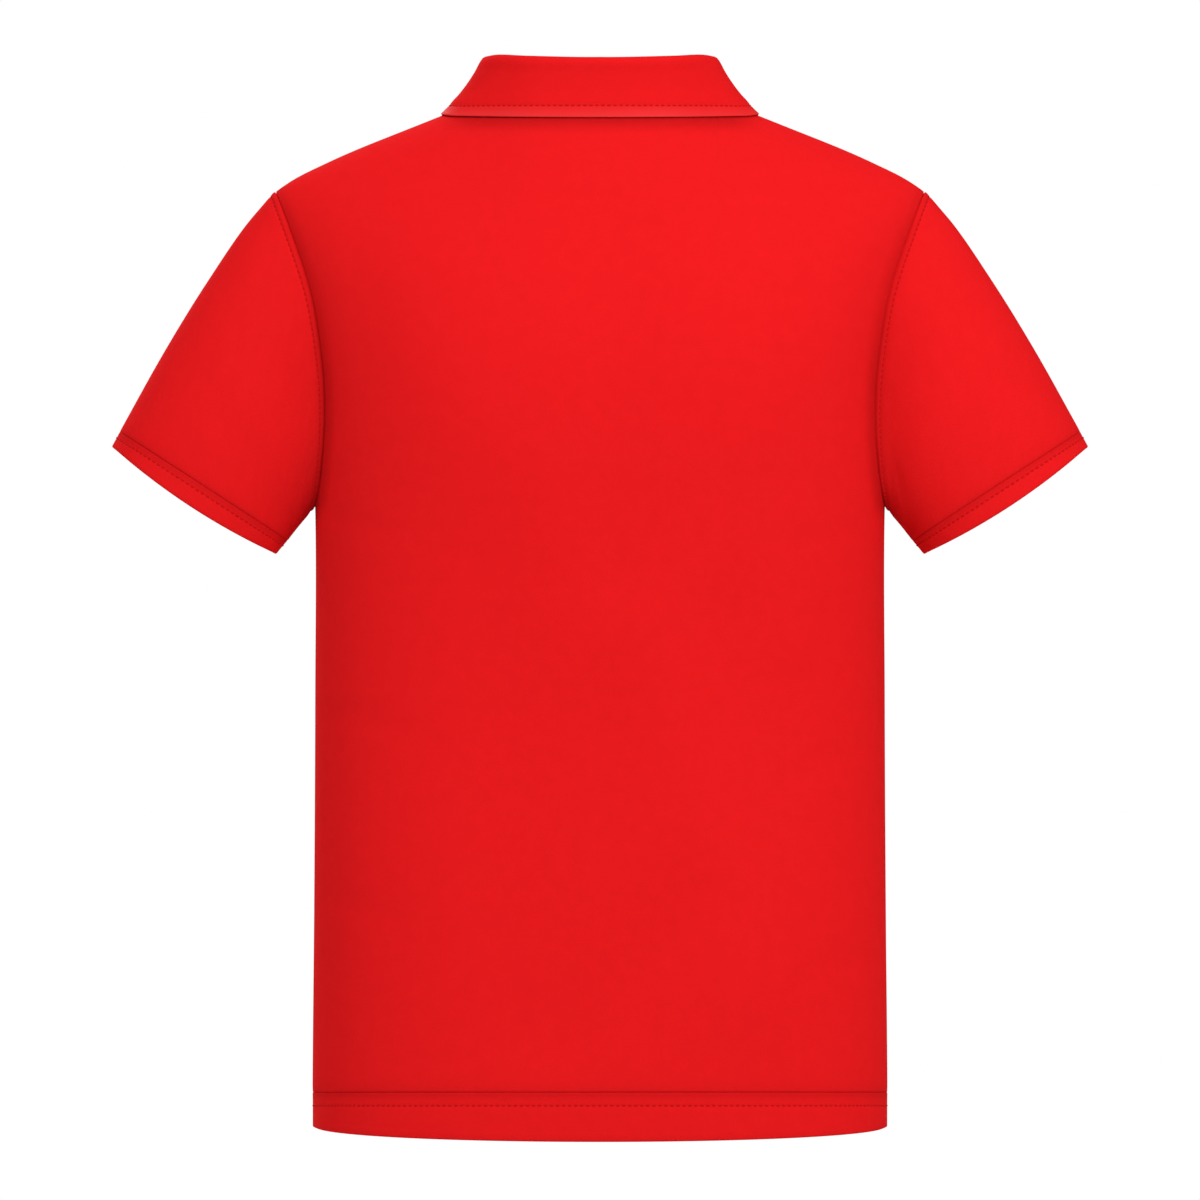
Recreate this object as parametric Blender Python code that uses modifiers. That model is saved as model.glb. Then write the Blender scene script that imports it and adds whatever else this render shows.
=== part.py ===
"""A short-sleeved polo shirt, filled out as if worn, with nobody in it.

The front faces -Y and the wearer's left is +X. The origin is the middle of the neck opening, level with
the points where the shoulder seams meet the collar. Every cut piece is a thin wall whose outer points come
from the shirt's own sections, and neighbouring pieces share their seam points, so that the walls meet in a
mitre with a narrow gap between them. Metres, +Z up.
"""

import math

import bmesh
import bpy
import numpy as np
from mathutils import Vector

# Cloth and seams.
CLOTH = 0.0016
BAND_CLOTH = 0.0022
STAND_CLOTH = 0.0020
LEAF_CLOTH = 0.0015
SEAM_GAP = 0.0003
SEAM_INSET = 0.00019
MOST_MITRE = 1.6

# Heights of the body, down from the neck.
ARMPIT_HEIGHT = -0.2850
HEM_SEAM_HEIGHT = -0.6947
HEM_SIDE_HEIGHT = -0.7189
HEM_DIP = 0.0105
SHOULDER_TURN_HEIGHT = -0.2000
SQUARENESS = 2.45

# Neck opening.
NECK_HALF_WIDTH = 0.0800
NECK_POINT_HEIGHT = 0.0024
BACK_NECK_HEIGHT = -0.0040
FRONT_NECK_HEIGHT = -0.0750

# Placket and buttons.
PLACKET_HALF_WIDTH = 0.0160
PLACKET_OVERLAP = 0.0010
PLACKET_END = 0.0060
PLACKET_LIFT = CLOTH + 0.00045
BUTTON_RADIUS = 0.00575
BUTTON_THICKNESS = 0.0026
BUTTON_RIM = 0.0011
BUTTON_DISH = 0.0019
BUTTON_EDGE = 0.0009
BUTTON_HOLE_RADIUS = 0.0008
BUTTON_HOLE_OFFSET = 0.0014
FIRST_BUTTON_HEIGHT = -0.0930
BUTTON_SPACING = 0.0480
BUTTON_COUNT = 3
BUTTON_LIFT = PLACKET_LIFT + 0.0005

# How finely the walls are cut into faces.
NECK_COLUMNS = 7
SHOULDER_COLUMNS = 7
LOWER_ROWS = 15
UPPER_ROWS = 14
BAND_ROWS = 2
SLEEVE_ROWS = 9
PLACKET_ROWS = 10
PLACKET_COLUMNS = 4
STAND_ROWS = 3
LEAF_COLUMNS = 12
BUTTON_STEPS = 20
HOLE_STEPS = 8
FINE = 160
HALVINGS = 40
SLOPE_STEP = 0.002

# Body sections: height, half width, depth to the back, depth to the front.
BODY_SECTIONS = (
    (-0.7350, 0.2016, 0.1190, 0.1260),
    (-0.6947, 0.2014, 0.1185, 0.1250),
    (-0.5600, 0.2002, 0.1150, 0.1230),
    (-0.4200, 0.1995, 0.1120, 0.1210),
    (-0.2850, 0.1995, 0.1210, 0.1230),
    (-0.2474, 0.2005, 0.1240, 0.1220),
    (-0.1992, 0.2017, 0.1240, 0.1180),
    (-0.1343, 0.2127, 0.1170, 0.1060),
    (-0.0938, 0.2257, 0.1100, 0.0940),
    (-0.0640, 0.2370, 0.1050, 0.0840),
    (0.0000, 0.2500, 0.0980, 0.0780),
    (0.0500, 0.2600, 0.0980, 0.0780),
)

# The shoulder line as seen from the back: distance out from the middle, height.
SHOULDER_LINE = (
    (-0.0450, 0.0225),
    (0.0000, 0.0310),
    (0.0450, 0.0225),
    (0.0800, 0.0024),
    (0.1120, -0.0113),
    (0.1260, -0.0169),
    (0.1925, -0.0446),
    (0.2143, -0.0555),
    (0.2275, -0.0640),
    (0.2600, -0.0860),
)

# The armhole seam as seen from the back: height, distance out from the middle.
ARMHOLE = (
    (-0.2850, 0.1995),
    (-0.2795, 0.1982),
    (-0.2474, 0.1941),
    (-0.2205, 0.1928),
    (-0.1992, 0.1932),
    (-0.1706, 0.1961),
    (-0.1343, 0.2027),
    (-0.0938, 0.2161),
    (-0.0640, 0.2275),
)
FRONT_SCOOP = 0.0070

# Sleeve sections: share of the way from the armhole to the cuff seam, the top fold's distance out and
# height, the underarm's distance out and height, and half the depth from front to back.
SLEEVE_SECTIONS = (
    (0.00, 0.2275, -0.0640, 0.1995, -0.2850, 0.0500),
    (0.18, 0.2488, -0.0889, 0.2036, -0.2893, 0.0570),
    (0.38, 0.2730, -0.1244, 0.2071, -0.2939, 0.0590),
    (0.70, 0.3052, -0.1766, 0.2130, -0.3012, 0.0560),
    (1.00, 0.3358, -0.2315, 0.2182, -0.3079, 0.0530),
)
# Cuff sections: share of the band, then the same measures.
CUFF_SECTIONS = (
    (0.00, 0.3358, -0.2315, 0.2182, -0.3079, 0.0530),
    (1.00, 0.3421, -0.2428, 0.2266, -0.3184, 0.0520),
)
CUFF_DIP = 0.0048

# Soft folds, as ridges (+) and troughs (-): side of the shirt, the two ends' distance out to the wearer's
# left and height, half width, depth.
FOLDS = (
    ("back", -0.058, -0.370, -0.135, -0.620, 0.030, 0.0042),
    ("back", -0.138, -0.290, -0.140, -0.380, 0.017, 0.0022),
    ("back", 0.075, -0.330, 0.052, -0.640, 0.040, -0.0026),
    ("back", 0.020, -0.655, -0.070, -0.560, 0.030, -0.0022),
    ("back", -0.010, -0.080, -0.012, -0.330, 0.034, -0.0030),
    ("back", 0.100, -0.130, 0.105, -0.210, 0.048, 0.0034),
    ("back", -0.104, -0.130, -0.118, -0.215, 0.048, 0.0040),
    ("front", 0.125, -0.300, 0.060, -0.560, 0.030, 0.0036),
    ("front", -0.120, -0.310, -0.085, -0.600, 0.032, 0.0038),
    ("front", 0.030, -0.260, 0.020, -0.620, 0.034, -0.0030),
    ("front", -0.140, -0.260, -0.060, -0.330, 0.020, -0.0022),
    ("front", 0.142, -0.255, 0.070, -0.330, 0.020, -0.0024),
    ("front", 0.100, -0.120, 0.110, -0.210, 0.050, 0.0030),
    ("front", -0.100, -0.120, -0.110, -0.210, 0.050, 0.0030),
)

# Collar stand: share of the way round from the middle back to the middle front, rise, lean towards the neck.
STAND_SECTIONS = (
    (0.00, 0.0292, 0.0010),
    (0.20, 0.0286, 0.0015),
    (0.30, 0.0274, 0.0020),
    (0.38, 0.0236, 0.0020),
    (0.46, 0.0212, 0.0020),
    (0.70, 0.0222, 0.0015),
    (1.00, 0.0245, 0.0010),
)

# Collar leaf's roll over the stand: distance out from the stand's outer face, height above its top.
LEAF_ROLL = (
    (-0.0019, 0.0012),
    (-0.0018, 0.0026),
    (-0.0006, 0.0041),
    (0.0014, 0.0050),
    (0.0035, 0.0046),
    (0.0051, 0.0028),
)
# Where the leaf's edge lies over the body: share of the way round, distance out, distance to the back.
LEAF_EDGE = (
    (0.00, 0.0000, 0.0583),
    (0.12, 0.0380, 0.0549),
    (0.235, 0.0750, 0.0396),
    (0.34, 0.1000, 0.0226),
    (0.42, 0.1104, 0.0070),
    (0.48, 0.1105, -0.0080),
    (0.58, 0.1075, -0.0310),
    (0.69, 0.0960, -0.0560),
    (0.80, 0.0790, -0.0750),
    (0.91, 0.0580, -0.0880),
    (1.00, 0.0420, -0.0950),
)
LEAF_FALL = (0.22, 0.46, 0.70, 0.86, 1.00)
LEAF_LIFT = 0.0027
LEAF_SAG = 0.0019
COLLAR_HALF_GAP = 0.0006

CLOTH_RED = (0.810, 0.011, 0.013, 1.0)
BUTTON_RED = (0.560, 0.012, 0.014, 1.0)


def unit(vector):
    """The vector at length 1."""
    return vector / max(np.linalg.norm(vector), 1e-12)


def along(table, at):
    """The table's other columns at this value of its first column, on a smooth curve through its rows."""
    rows = np.array(table, float)
    keys, values = rows[:, 0], rows[:, 1:]
    slopes = np.gradient(values, keys, axis=0)
    at = min(max(at, keys[0]), keys[-1])
    k = min(max(int(np.searchsorted(keys, at)) - 1, 0), len(keys) - 2)
    span = keys[k + 1] - keys[k]
    t = (at - keys[k]) / span
    return (
        (2 * t**3 - 3 * t**2 + 1) * values[k]
        + (t**3 - 2 * t**2 + t) * span * slopes[k]
        + (3 * t**2 - 2 * t**3) * values[k + 1]
        + (t**3 - t**2) * span * slopes[k + 1]
    )


def lengths_along(curve):
    """The distance from the curve's start to each of its points."""
    steps = np.linalg.norm(np.diff(curve, axis=0), axis=1)
    return np.concatenate([[0.0], np.cumsum(steps)])


def points_at(curve, distances):
    """The points of a curve at these distances from its start."""
    curve = np.array(curve, float)
    lengths = lengths_along(curve)
    return np.stack([np.interp(distances, lengths, curve[:, c]) for c in range(3)], axis=1)


def even_points(curve, parts, first=None):
    """Points that cut a curve into equal parts. With first, the first part has that length instead."""
    whole = lengths_along(np.array(curve, float))[-1]
    if first is None:
        return points_at(curve, np.linspace(0, whole, parts + 1))
    return points_at(curve, np.concatenate([[0.0], np.linspace(first, whole, parts)]))


def shoulder_height(x):
    """Height of the shoulder line at this distance from the middle."""
    return float(along(SHOULDER_LINE, abs(x))[0])


def fold_relief(x, z, side):
    """How far the soft folds lift the cloth outwards here."""
    relief = 0.0
    for where, x0, z0, x1, z1, half_width, depth in FOLDS:
        if where != side:
            continue
        run = np.array([x1 - x0, z1 - z0])
        offset = np.array([x - x0, z - z0])
        t = min(max(float(offset @ run) / float(run @ run), 0.0), 1.0)
        away = float(np.linalg.norm(offset - t * run))
        relief += depth * math.exp(-((away / half_width) ** 2))
    return relief


def body_depth(x, z, side):
    """Distance of the cloth from the plane through the side seams, to the back or to the front."""
    half_width, back, front = along(BODY_SECTIONS, z)
    depth = back if side == "back" else front
    out = min(abs(x) / half_width, 1.0)
    depth *= (1 - out**SQUARENESS) ** (1 / SQUARENESS)
    depth += fold_relief(x, z, side) * (1 - out**6)
    if z > SHOULDER_TURN_HEIGHT:
        rise = (z - SHOULDER_TURN_HEIGHT) / (shoulder_height(x) - SHOULDER_TURN_HEIGHT)
        depth *= math.sqrt(max(1 - min(rise, 1.0) ** 2, 0.0))
    return depth


def body_point(x, z, side):
    """The point of the cloth that shows at this place, seen from the back or from the front."""
    sign = 1 if side == "back" else -1
    return np.array([x, sign * body_depth(x, z, side), z])


def body_height(x, y):
    """Height of the cloth over this point of the plan, on the shoulders and the upper body."""
    side = "back" if y >= 0 else "front"
    low, high = SHOULDER_TURN_HEIGHT, shoulder_height(x)
    for _ in range(HALVINGS):
        middle = (low + high) / 2
        if body_depth(x, middle, side) > abs(y):
            low = middle
        else:
            high = middle
    return low


def over_body(x, y, lift):
    """A point this far off the cloth, over this point of the plan."""
    rise_x = body_height(x + SLOPE_STEP, y) - body_height(x - SLOPE_STEP, y)
    rise_y = body_height(x, y + SLOPE_STEP) - body_height(x, y - SLOPE_STEP)
    return np.array([x, y, body_height(x, y)]) + lift * unit(np.array([-rise_x, -rise_y, 2 * SLOPE_STEP]))


def before_front(x, z, lift):
    """A point this far off the front, and the direction that the front faces there."""
    deeper = body_depth(x, z + SLOPE_STEP, "front") - body_depth(x, z - SLOPE_STEP, "front")
    normal = unit(np.array([0.0, -2 * SLOPE_STEP, -deeper]))
    return body_point(x, z, "front") + lift * normal, normal


def neck_height(x, side):
    """Height of the neck seam at this distance from the middle."""
    low = BACK_NECK_HEIGHT if side == "back" else FRONT_NECK_HEIGHT
    return low + (NECK_POINT_HEIGHT - low) * (1 - math.sqrt(max(1 - (x / NECK_HALF_WIDTH) ** 2, 0.0)))


def half_ring(z, side):
    """Half a level section of the body, from the middle to the side seam, finely cut."""
    half_width = along(BODY_SECTIONS, z)[0]
    turns = np.linspace(0, math.pi / 2, FINE)
    return [body_point(half_width * math.sin(t), z, side) for t in turns]


def neckline(side):
    """Half the neck seam, from the middle to the shoulder seam, finely cut."""
    across = [NECK_HALF_WIDTH * math.sin(turn) for turn in np.linspace(0, math.pi / 2, FINE)]
    return [body_point(x, neck_height(x, side), side) for x in across]


def shoulder_seam():
    """The shoulder seam, from the neck to the top of the armhole."""
    tip = ARMHOLE[-1][1]
    curve = [body_point(x, shoulder_height(x), "back") for x in np.linspace(NECK_HALF_WIDTH, tip, FINE)]
    return even_points(curve, SHOULDER_COLUMNS)


def armhole(side):
    """The armhole seam, from the armpit to the shoulder seam, finely cut."""
    bottom, top = ARMHOLE[0][0], ARMHOLE[-1][0]
    scoop = FRONT_SCOOP if side == "front" else 0.0
    curve = []
    for turn in np.linspace(0, math.pi, FINE):
        share = (1 - math.cos(turn)) / 2
        z = bottom + (top - bottom) * share
        x = float(along(ARMHOLE, z)[0]) - scoop * math.sin(math.pi * share) ** 2
        curve.append(body_point(x, z, side))
    return even_points(curve, FINE)


def half_panel(side):
    """Rows of points on half a body panel, on the wearer's left, from the hem seam up to the neck."""
    columns = NECK_COLUMNS + SHOULDER_COLUMNS
    first = PLACKET_HALF_WIDTH if side == "front" else None
    rows = []
    for step in range(LOWER_ROWS + 1):
        z = HEM_SEAM_HEIGHT + (ARMPIT_HEIGHT - HEM_SEAM_HEIGHT) * step / LOWER_ROWS
        rows.append(even_points(half_ring(z, side), columns, first))
    start = rows[-1]
    top = np.concatenate([even_points(neckline(side), NECK_COLUMNS, first), shoulder_seam()[1:]])
    edge = armhole(side)
    share = np.linspace(0, 1, len(edge))[:, None]
    edge_bow = edge - ((1 - share) * edge[0] + share * edge[-1])
    across = lengths_along(start) / lengths_along(start)[-1]
    columns_up = []
    for j in range(columns + 1):
        flat = (1 - share) * start[j] + share * top[j] + across[j] * edge_bow
        lifted = [body_point(x, z, side) for x, _, z in flat]
        lifted[-1] = top[j]
        columns_up.append(edge if j == columns else np.array(lifted))
    columns_up = [even_points(column, UPPER_ROWS) for column in columns_up]
    for step in range(1, UPPER_ROWS + 1):
        rows.append(np.array([column[step] for column in columns_up]))
    return rows


def mirrored(points):
    """The same points on the wearer's other side."""
    return np.array(points) * np.array([-1.0, 1.0, 1.0])


def body_panel(side):
    """Rows of points on a whole body panel, running from one side seam to the other."""
    rows = []
    halves = half_panel(side)
    for k, left in enumerate(halves):
        right = mirrored(left)[:0:-1]
        if k < len(halves) - 1:
            right[1:] = [body_point(x, z, side) for x, _, z in right[1:]]
        rows.append(np.concatenate([right, left]))
    return rows if side == "front" else [row[::-1] for row in rows]


def hem_band(panel):
    """Rows of points on the band below a body panel, down to the dipped edge."""
    rows = []
    half_width = along(BODY_SECTIONS, HEM_SEAM_HEIGHT)[0]
    for step in range(BAND_ROWS + 1):
        share = step / BAND_ROWS
        row = []
        for x, y, z in panel[0]:
            edge = HEM_SIDE_HEIGHT - HEM_DIP * math.sqrt(max(1 - (x / half_width) ** 2, 0.0))
            row.append([x, y, z + (edge - z) * share])
        rows.append(np.array(row))
    return rows[::-1]


def sleeve_chord(section):
    """A sleeve section's middle, the way from there to its top fold, and its direction towards the cuff."""
    top_x, top_z, under_x, under_z = section[:4]
    top, under = np.array([top_x, 0.0, top_z]), np.array([under_x, 0.0, under_z])
    half_chord = (top - under) / 2
    return (top + under) / 2, half_chord, unit(np.array([half_chord[2], 0.0, -half_chord[0]]))


def sleeve_ring(section, measures, share, dip):
    """A closed section of the sleeve, from its top fold down the front to the underarm and up the back."""
    centre, half_chord, out = sleeve_chord(section)
    half_depth = section[4]
    from_armhole = (1 - share) ** 2
    ring = []
    for i, (chord_share, bow, depth) in enumerate(measures):
        turn = 2 * math.pi * i / len(measures)
        up = from_armhole * chord_share + (1 - from_armhole) * math.cos(turn)
        side_way = from_armhole * depth - (1 - from_armhole) * half_depth * math.sin(turn)
        outward = from_armhole * bow + dip * math.sin(turn) ** 2
        ring.append(centre + up * half_chord + outward * out + np.array([0.0, side_way, 0.0]))
    return np.array(ring)


def armhole_ring(back, front):
    """The armhole's seam points, from the shoulder tip down the front and up the back."""
    back_edge = [row[0] for row in back[LOWER_ROWS:]]
    front_edge = [row[-1] for row in front[LOWER_ROWS:]]
    return np.array(front_edge[::-1] + back_edge[1:-1])


def sleeve_measures(ring):
    """Each armhole point as its share of the way up, its bow out from the straight, and its depth."""
    centre, half_chord, out = sleeve_chord(SLEEVE_SECTIONS[0][1:])
    long_way = half_chord / (half_chord @ half_chord)
    return [((p - centre) @ long_way, (p - centre) @ out, p[1]) for p in ring]


def sleeve(back, front):
    """Rows of points round the left sleeve, from the armhole to the cuff seam."""
    ring = armhole_ring(back, front)
    measures = sleeve_measures(ring)
    rows = [ring]
    for step in range(1, SLEEVE_ROWS + 1):
        share = step / SLEEVE_ROWS
        rows.append(sleeve_ring(along(SLEEVE_SECTIONS, share), measures, share, 0.0))
    return rows


def cuff_band(sleeve_rows):
    """Rows of points round the band at the sleeve's end, dipped at its front and back."""
    measures = [(0.0, 0.0, 0.0)] * len(sleeve_rows[-1])
    rows = [sleeve_rows[-1]]
    for step in range(1, BAND_ROWS + 1):
        share = step / BAND_ROWS
        rows.append(sleeve_ring(along(CUFF_SECTIONS, share), measures, 1.0, CUFF_DIP * share))
    return rows


def neck_seam(back, front):
    """The neck seam's points on the wearer's left, from the middle back to the middle front."""
    centre = NECK_COLUMNS + SHOULDER_COLUMNS
    back_half = back[-1][: centre + 1][::-1][: NECK_COLUMNS + 1]
    front_half = front[-1][centre:][: NECK_COLUMNS + 1][::-1]
    return np.concatenate([back_half, front_half[1:]])


def collar_frame(seam):
    """For each neck seam point on the left: its share of the way round and its level outward direction."""
    shares = lengths_along(seam) / lengths_along(seam)[-1]
    whole = np.concatenate([mirrored(seam)[1:3][::-1], seam, mirrored(seam)[-3:-1][::-1]])
    tangents = (whole[3:-1] - whole[1:-3]) * np.array([1.0, 1.0, 0.0])
    outward = np.stack([-tangents[:, 1], tangents[:, 0], np.zeros(len(tangents))], axis=1)
    return shares, outward / np.linalg.norm(outward, axis=1)[:, None]


def opened_at_front(rows):
    """The left half's rows joined to their mirror image round the back, and parted at the middle front."""
    whole = []
    for row in rows:
        row = np.array(row)
        row[-1][0] = max(row[-1][0], COLLAR_HALF_GAP)
        whole.append(np.concatenate([mirrored(row)[:0:-1], row]))
    return whole


def collar_stand(seam):
    """Rows of points on half the stand, from the neck seam up to the fold."""
    shares, outward = collar_frame(seam)
    rows = []
    for step in range(STAND_ROWS + 1):
        height = step / STAND_ROWS
        row = []
        for point, share, out in zip(seam, shares, outward):
            rise, lean = along(STAND_SECTIONS, share)
            row.append(point + height * (np.array([0.0, 0.0, rise]) - lean * out))
        rows.append(np.array(row))
    return rows


def fine_neck_seam():
    """The neck seam on the wearer's left in even steps, for the leaf."""
    back_half = even_points(neckline("back"), LEAF_COLUMNS)
    return np.concatenate([back_half, even_points(neckline("front"), LEAF_COLUMNS)[-2::-1]])


def clear_of_body(point):
    """The point, raised where it would lie closer to the body than the leaf's lift."""
    x, y, z = point
    return np.array([x, y, max(z, body_height(x, y) + LEAF_LIFT)])


def collar_leaf():
    """Rows of points on half the leaf, from the top of the stand, over the roll and down to the edge."""
    seam = fine_neck_seam()
    shares, outward = collar_frame(seam)
    fold = collar_stand(seam)[-1]
    rows = [[point + r * out + np.array([0.0, 0.0, h]) for point, out in zip(fold, outward)] for r, h in LEAF_ROLL]
    shoulder = np.array(rows[-1])
    edge = np.array([over_body(*along(LEAF_EDGE, share), LEAF_LIFT) for share in shares])
    for fall in LEAF_FALL:
        sag = LEAF_SAG * math.sin(math.pi * min(fall / 1.05, 1.0)) * outward
        row = shoulder + (edge - shoulder) * fall - sag
        rows.append(row if fall == 1 else np.array([clear_of_body(point) for point in row]))
    return rows


class Piece:
    """A cut piece: rows of outer points, closed round or open, with the faces that are cut away."""

    def __init__(self, name, rows, cloth, closed=False, cut_away=()):
        self.name = name
        self.rows = np.array(rows, float)
        self.cloth = cloth
        self.closed = closed
        self.cut_away = set(cut_away)

    def faces(self):
        """The corners of each face as (row, column), counted so that the face points out."""
        row_count, column_count = self.rows.shape[:2]
        last = column_count if self.closed else column_count - 1
        for r in range(row_count - 1):
            for c in range(last):
                if (r, c) not in self.cut_away:
                    d = (c + 1) % column_count
                    yield (r, c), (r, d), (r + 1, d), (r + 1, c)

    def corners(self, face):
        return [self.rows[corner] for corner in face]


def place_key(point):
    return tuple(int(round(value * 1e6)) for value in point)


def seam_normals(pieces):
    """The outward direction at every point, shared by the pieces that meet there, and how far to mitre it."""
    found = {}
    for piece in pieces:
        for face in piece.faces():
            a, b, c, d = piece.corners(face)
            normal = unit(np.cross(c - a, d - b))
            for point in (a, b, c, d):
                found.setdefault(place_key(point), []).append(normal)
    normals = {}
    for key, directions in found.items():
        mean = unit(np.sum(directions, axis=0))
        least = min(mean @ direction for direction in directions)
        normals[key] = mean / max(least, 1 / MOST_MITRE)
    return normals


def border_inset(piece):
    """For each point on the piece's border a small move in from it, and how many faces use each edge."""
    inward, edges = {}, {}
    for face in piece.faces():
        centre = sum(piece.corners(face)) / 4
        for corner in face:
            inward[corner] = inward.get(corner, 0) + unit(centre - piece.rows[corner])
        for k in range(4):
            edge = frozenset((face[k], face[(k + 1) % 4]))
            edges[edge] = edges.get(edge, 0) + 1
    on_border = {corner for edge, uses in edges.items() if uses == 1 for corner in edge}
    return {corner: unit(inward[corner]) * SEAM_INSET for corner in on_border}, edges


def make_wall(piece, normals, collection, material):
    """A closed wall from a piece: its outer points, the same points moved in by the cloth, and the rims."""
    inset, edges = border_inset(piece)
    mesh = bmesh.new()
    outer, inner = {}, {}

    def add(corner):
        if corner not in outer:
            point = piece.rows[corner]
            shift = inset.get(corner, np.zeros(3))
            normal = normals[place_key(point)]
            outer[corner] = mesh.verts.new(Vector(point + shift))
            inner[corner] = mesh.verts.new(Vector(point + shift - normal * piece.cloth))

    for face in piece.faces():
        for corner in face:
            add(corner)
        mesh.faces.new([outer[corner] for corner in face])
        mesh.faces.new([inner[corner] for corner in reversed(face)])
        for k in range(4):
            a, b = face[k], face[(k + 1) % 4]
            if edges[frozenset((a, b))] == 1:
                # Both walls at a seam split their rims the same way, so that twisted rims stay apart.
                if place_key(piece.rows[a]) < place_key(piece.rows[b]):
                    mesh.faces.new([outer[b], outer[a], inner[b]])
                    mesh.faces.new([outer[a], inner[a], inner[b]])
                else:
                    mesh.faces.new([outer[b], outer[a], inner[a]])
                    mesh.faces.new([outer[b], inner[a], inner[b]])
    bmesh.ops.recalc_face_normals(mesh, faces=mesh.faces)
    data = bpy.data.meshes.new(piece.name)
    mesh.to_mesh(data)
    mesh.free()
    data.materials.append(material)
    data.shade_smooth()
    data.set_sharp_from_angle(angle=math.radians(50))
    made = bpy.data.objects.new(piece.name, data)
    collection.objects.link(made)
    return made


def make_material(name, colour, roughness):
    material = bpy.data.materials.new(name)
    material.use_nodes = True
    shader = material.node_tree.nodes["Principled BSDF"]
    shader.inputs["Base Color"].default_value = colour
    shader.inputs["Roughness"].default_value = roughness
    shader.inputs["Metallic"].default_value = 0.0
    return material


def placket_strips(front):
    """The two strips in the front's opening: the under one in the opening, the top one lying over it."""
    centre = NECK_COLUMNS + SHOULDER_COLUMNS
    under = [row[centre - 1 : centre + 2] for row in front[-1 - PLACKET_ROWS :]]
    half_width = PLACKET_HALF_WIDTH + PLACKET_OVERLAP
    heights = [under[0][1][2] - PLACKET_END] + [row[1][2] for row in under]
    top = []
    for height in heights:
        row = []
        for x in np.linspace(-half_width, half_width, PLACKET_COLUMNS + 1):
            at_neck = neck_height(x, "front") - SEAM_GAP
            row.append(before_front(x, at_neck if height == heights[-1] else height, PLACKET_LIFT)[0])
        top.append(row)
    return under, top


def make_button(index, place, normal, collection, cutters, material):
    """A round button with a raised rim and four thread holes, standing off the placket."""
    profile = (
        (0.0, BUTTON_DISH),
        (BUTTON_RADIUS - 2 * BUTTON_RIM, BUTTON_DISH),
        (BUTTON_RADIUS - 1.5 * BUTTON_RIM, BUTTON_THICKNESS),
        (BUTTON_RADIUS - 0.5 * BUTTON_RIM, BUTTON_THICKNESS),
        (BUTTON_RADIUS, BUTTON_DISH),
        (BUTTON_RADIUS, BUTTON_EDGE),
        (BUTTON_RADIUS - BUTTON_RIM, 0.0),
        (0.0, 0.0),
    )
    data = bpy.data.meshes.new(f"button_{index}")
    edges = [(k, k + 1) for k in range(len(profile) - 1)]
    data.from_pydata([(r, 0.0, h) for r, h in profile], edges, [])
    data.materials.append(material)
    button = bpy.data.objects.new(f"button_{index}", data)
    collection.objects.link(button)
    turn = button.modifiers.new("turn", "SCREW")
    turn.angle = 2 * math.pi
    turn.steps = turn.render_steps = BUTTON_STEPS
    turn.use_merge_vertices = True
    turn.merge_threshold = 0.00001
    holes = bmesh.new()
    for across, up in ((1, 1), (-1, 1), (-1, -1), (1, -1)):
        made = bmesh.ops.create_cone(
            holes,
            cap_ends=True,
            segments=HOLE_STEPS,
            radius1=BUTTON_HOLE_RADIUS,
            radius2=BUTTON_HOLE_RADIUS,
            depth=4 * BUTTON_THICKNESS,
        )
        bmesh.ops.translate(holes, verts=made["verts"], vec=Vector((across, up, 0)) * BUTTON_HOLE_OFFSET)
    hole_data = bpy.data.meshes.new(f"button_{index}_holes")
    holes.to_mesh(hole_data)
    holes.free()
    cutter = bpy.data.objects.new(f"button_{index}_holes", hole_data)
    cutter.hide_render = True
    cutter.display_type = "WIRE"
    cutters.objects.link(cutter)
    drill = button.modifiers.new("thread_holes", "BOOLEAN")
    drill.operation = "DIFFERENCE"
    drill.object = cutter
    for part in (button, cutter):
        part.location = Vector(place)
        part.rotation_mode = "QUATERNION"
        part.rotation_quaternion = Vector(normal).to_track_quat("Z", "Y")
    return button


def clear_scene():
    for thing in list(bpy.data.objects):
        bpy.data.objects.remove(thing, do_unlink=True)


def new_collection(name):
    collection = bpy.data.collections.new(name)
    bpy.context.scene.collection.children.link(collection)
    return collection


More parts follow.
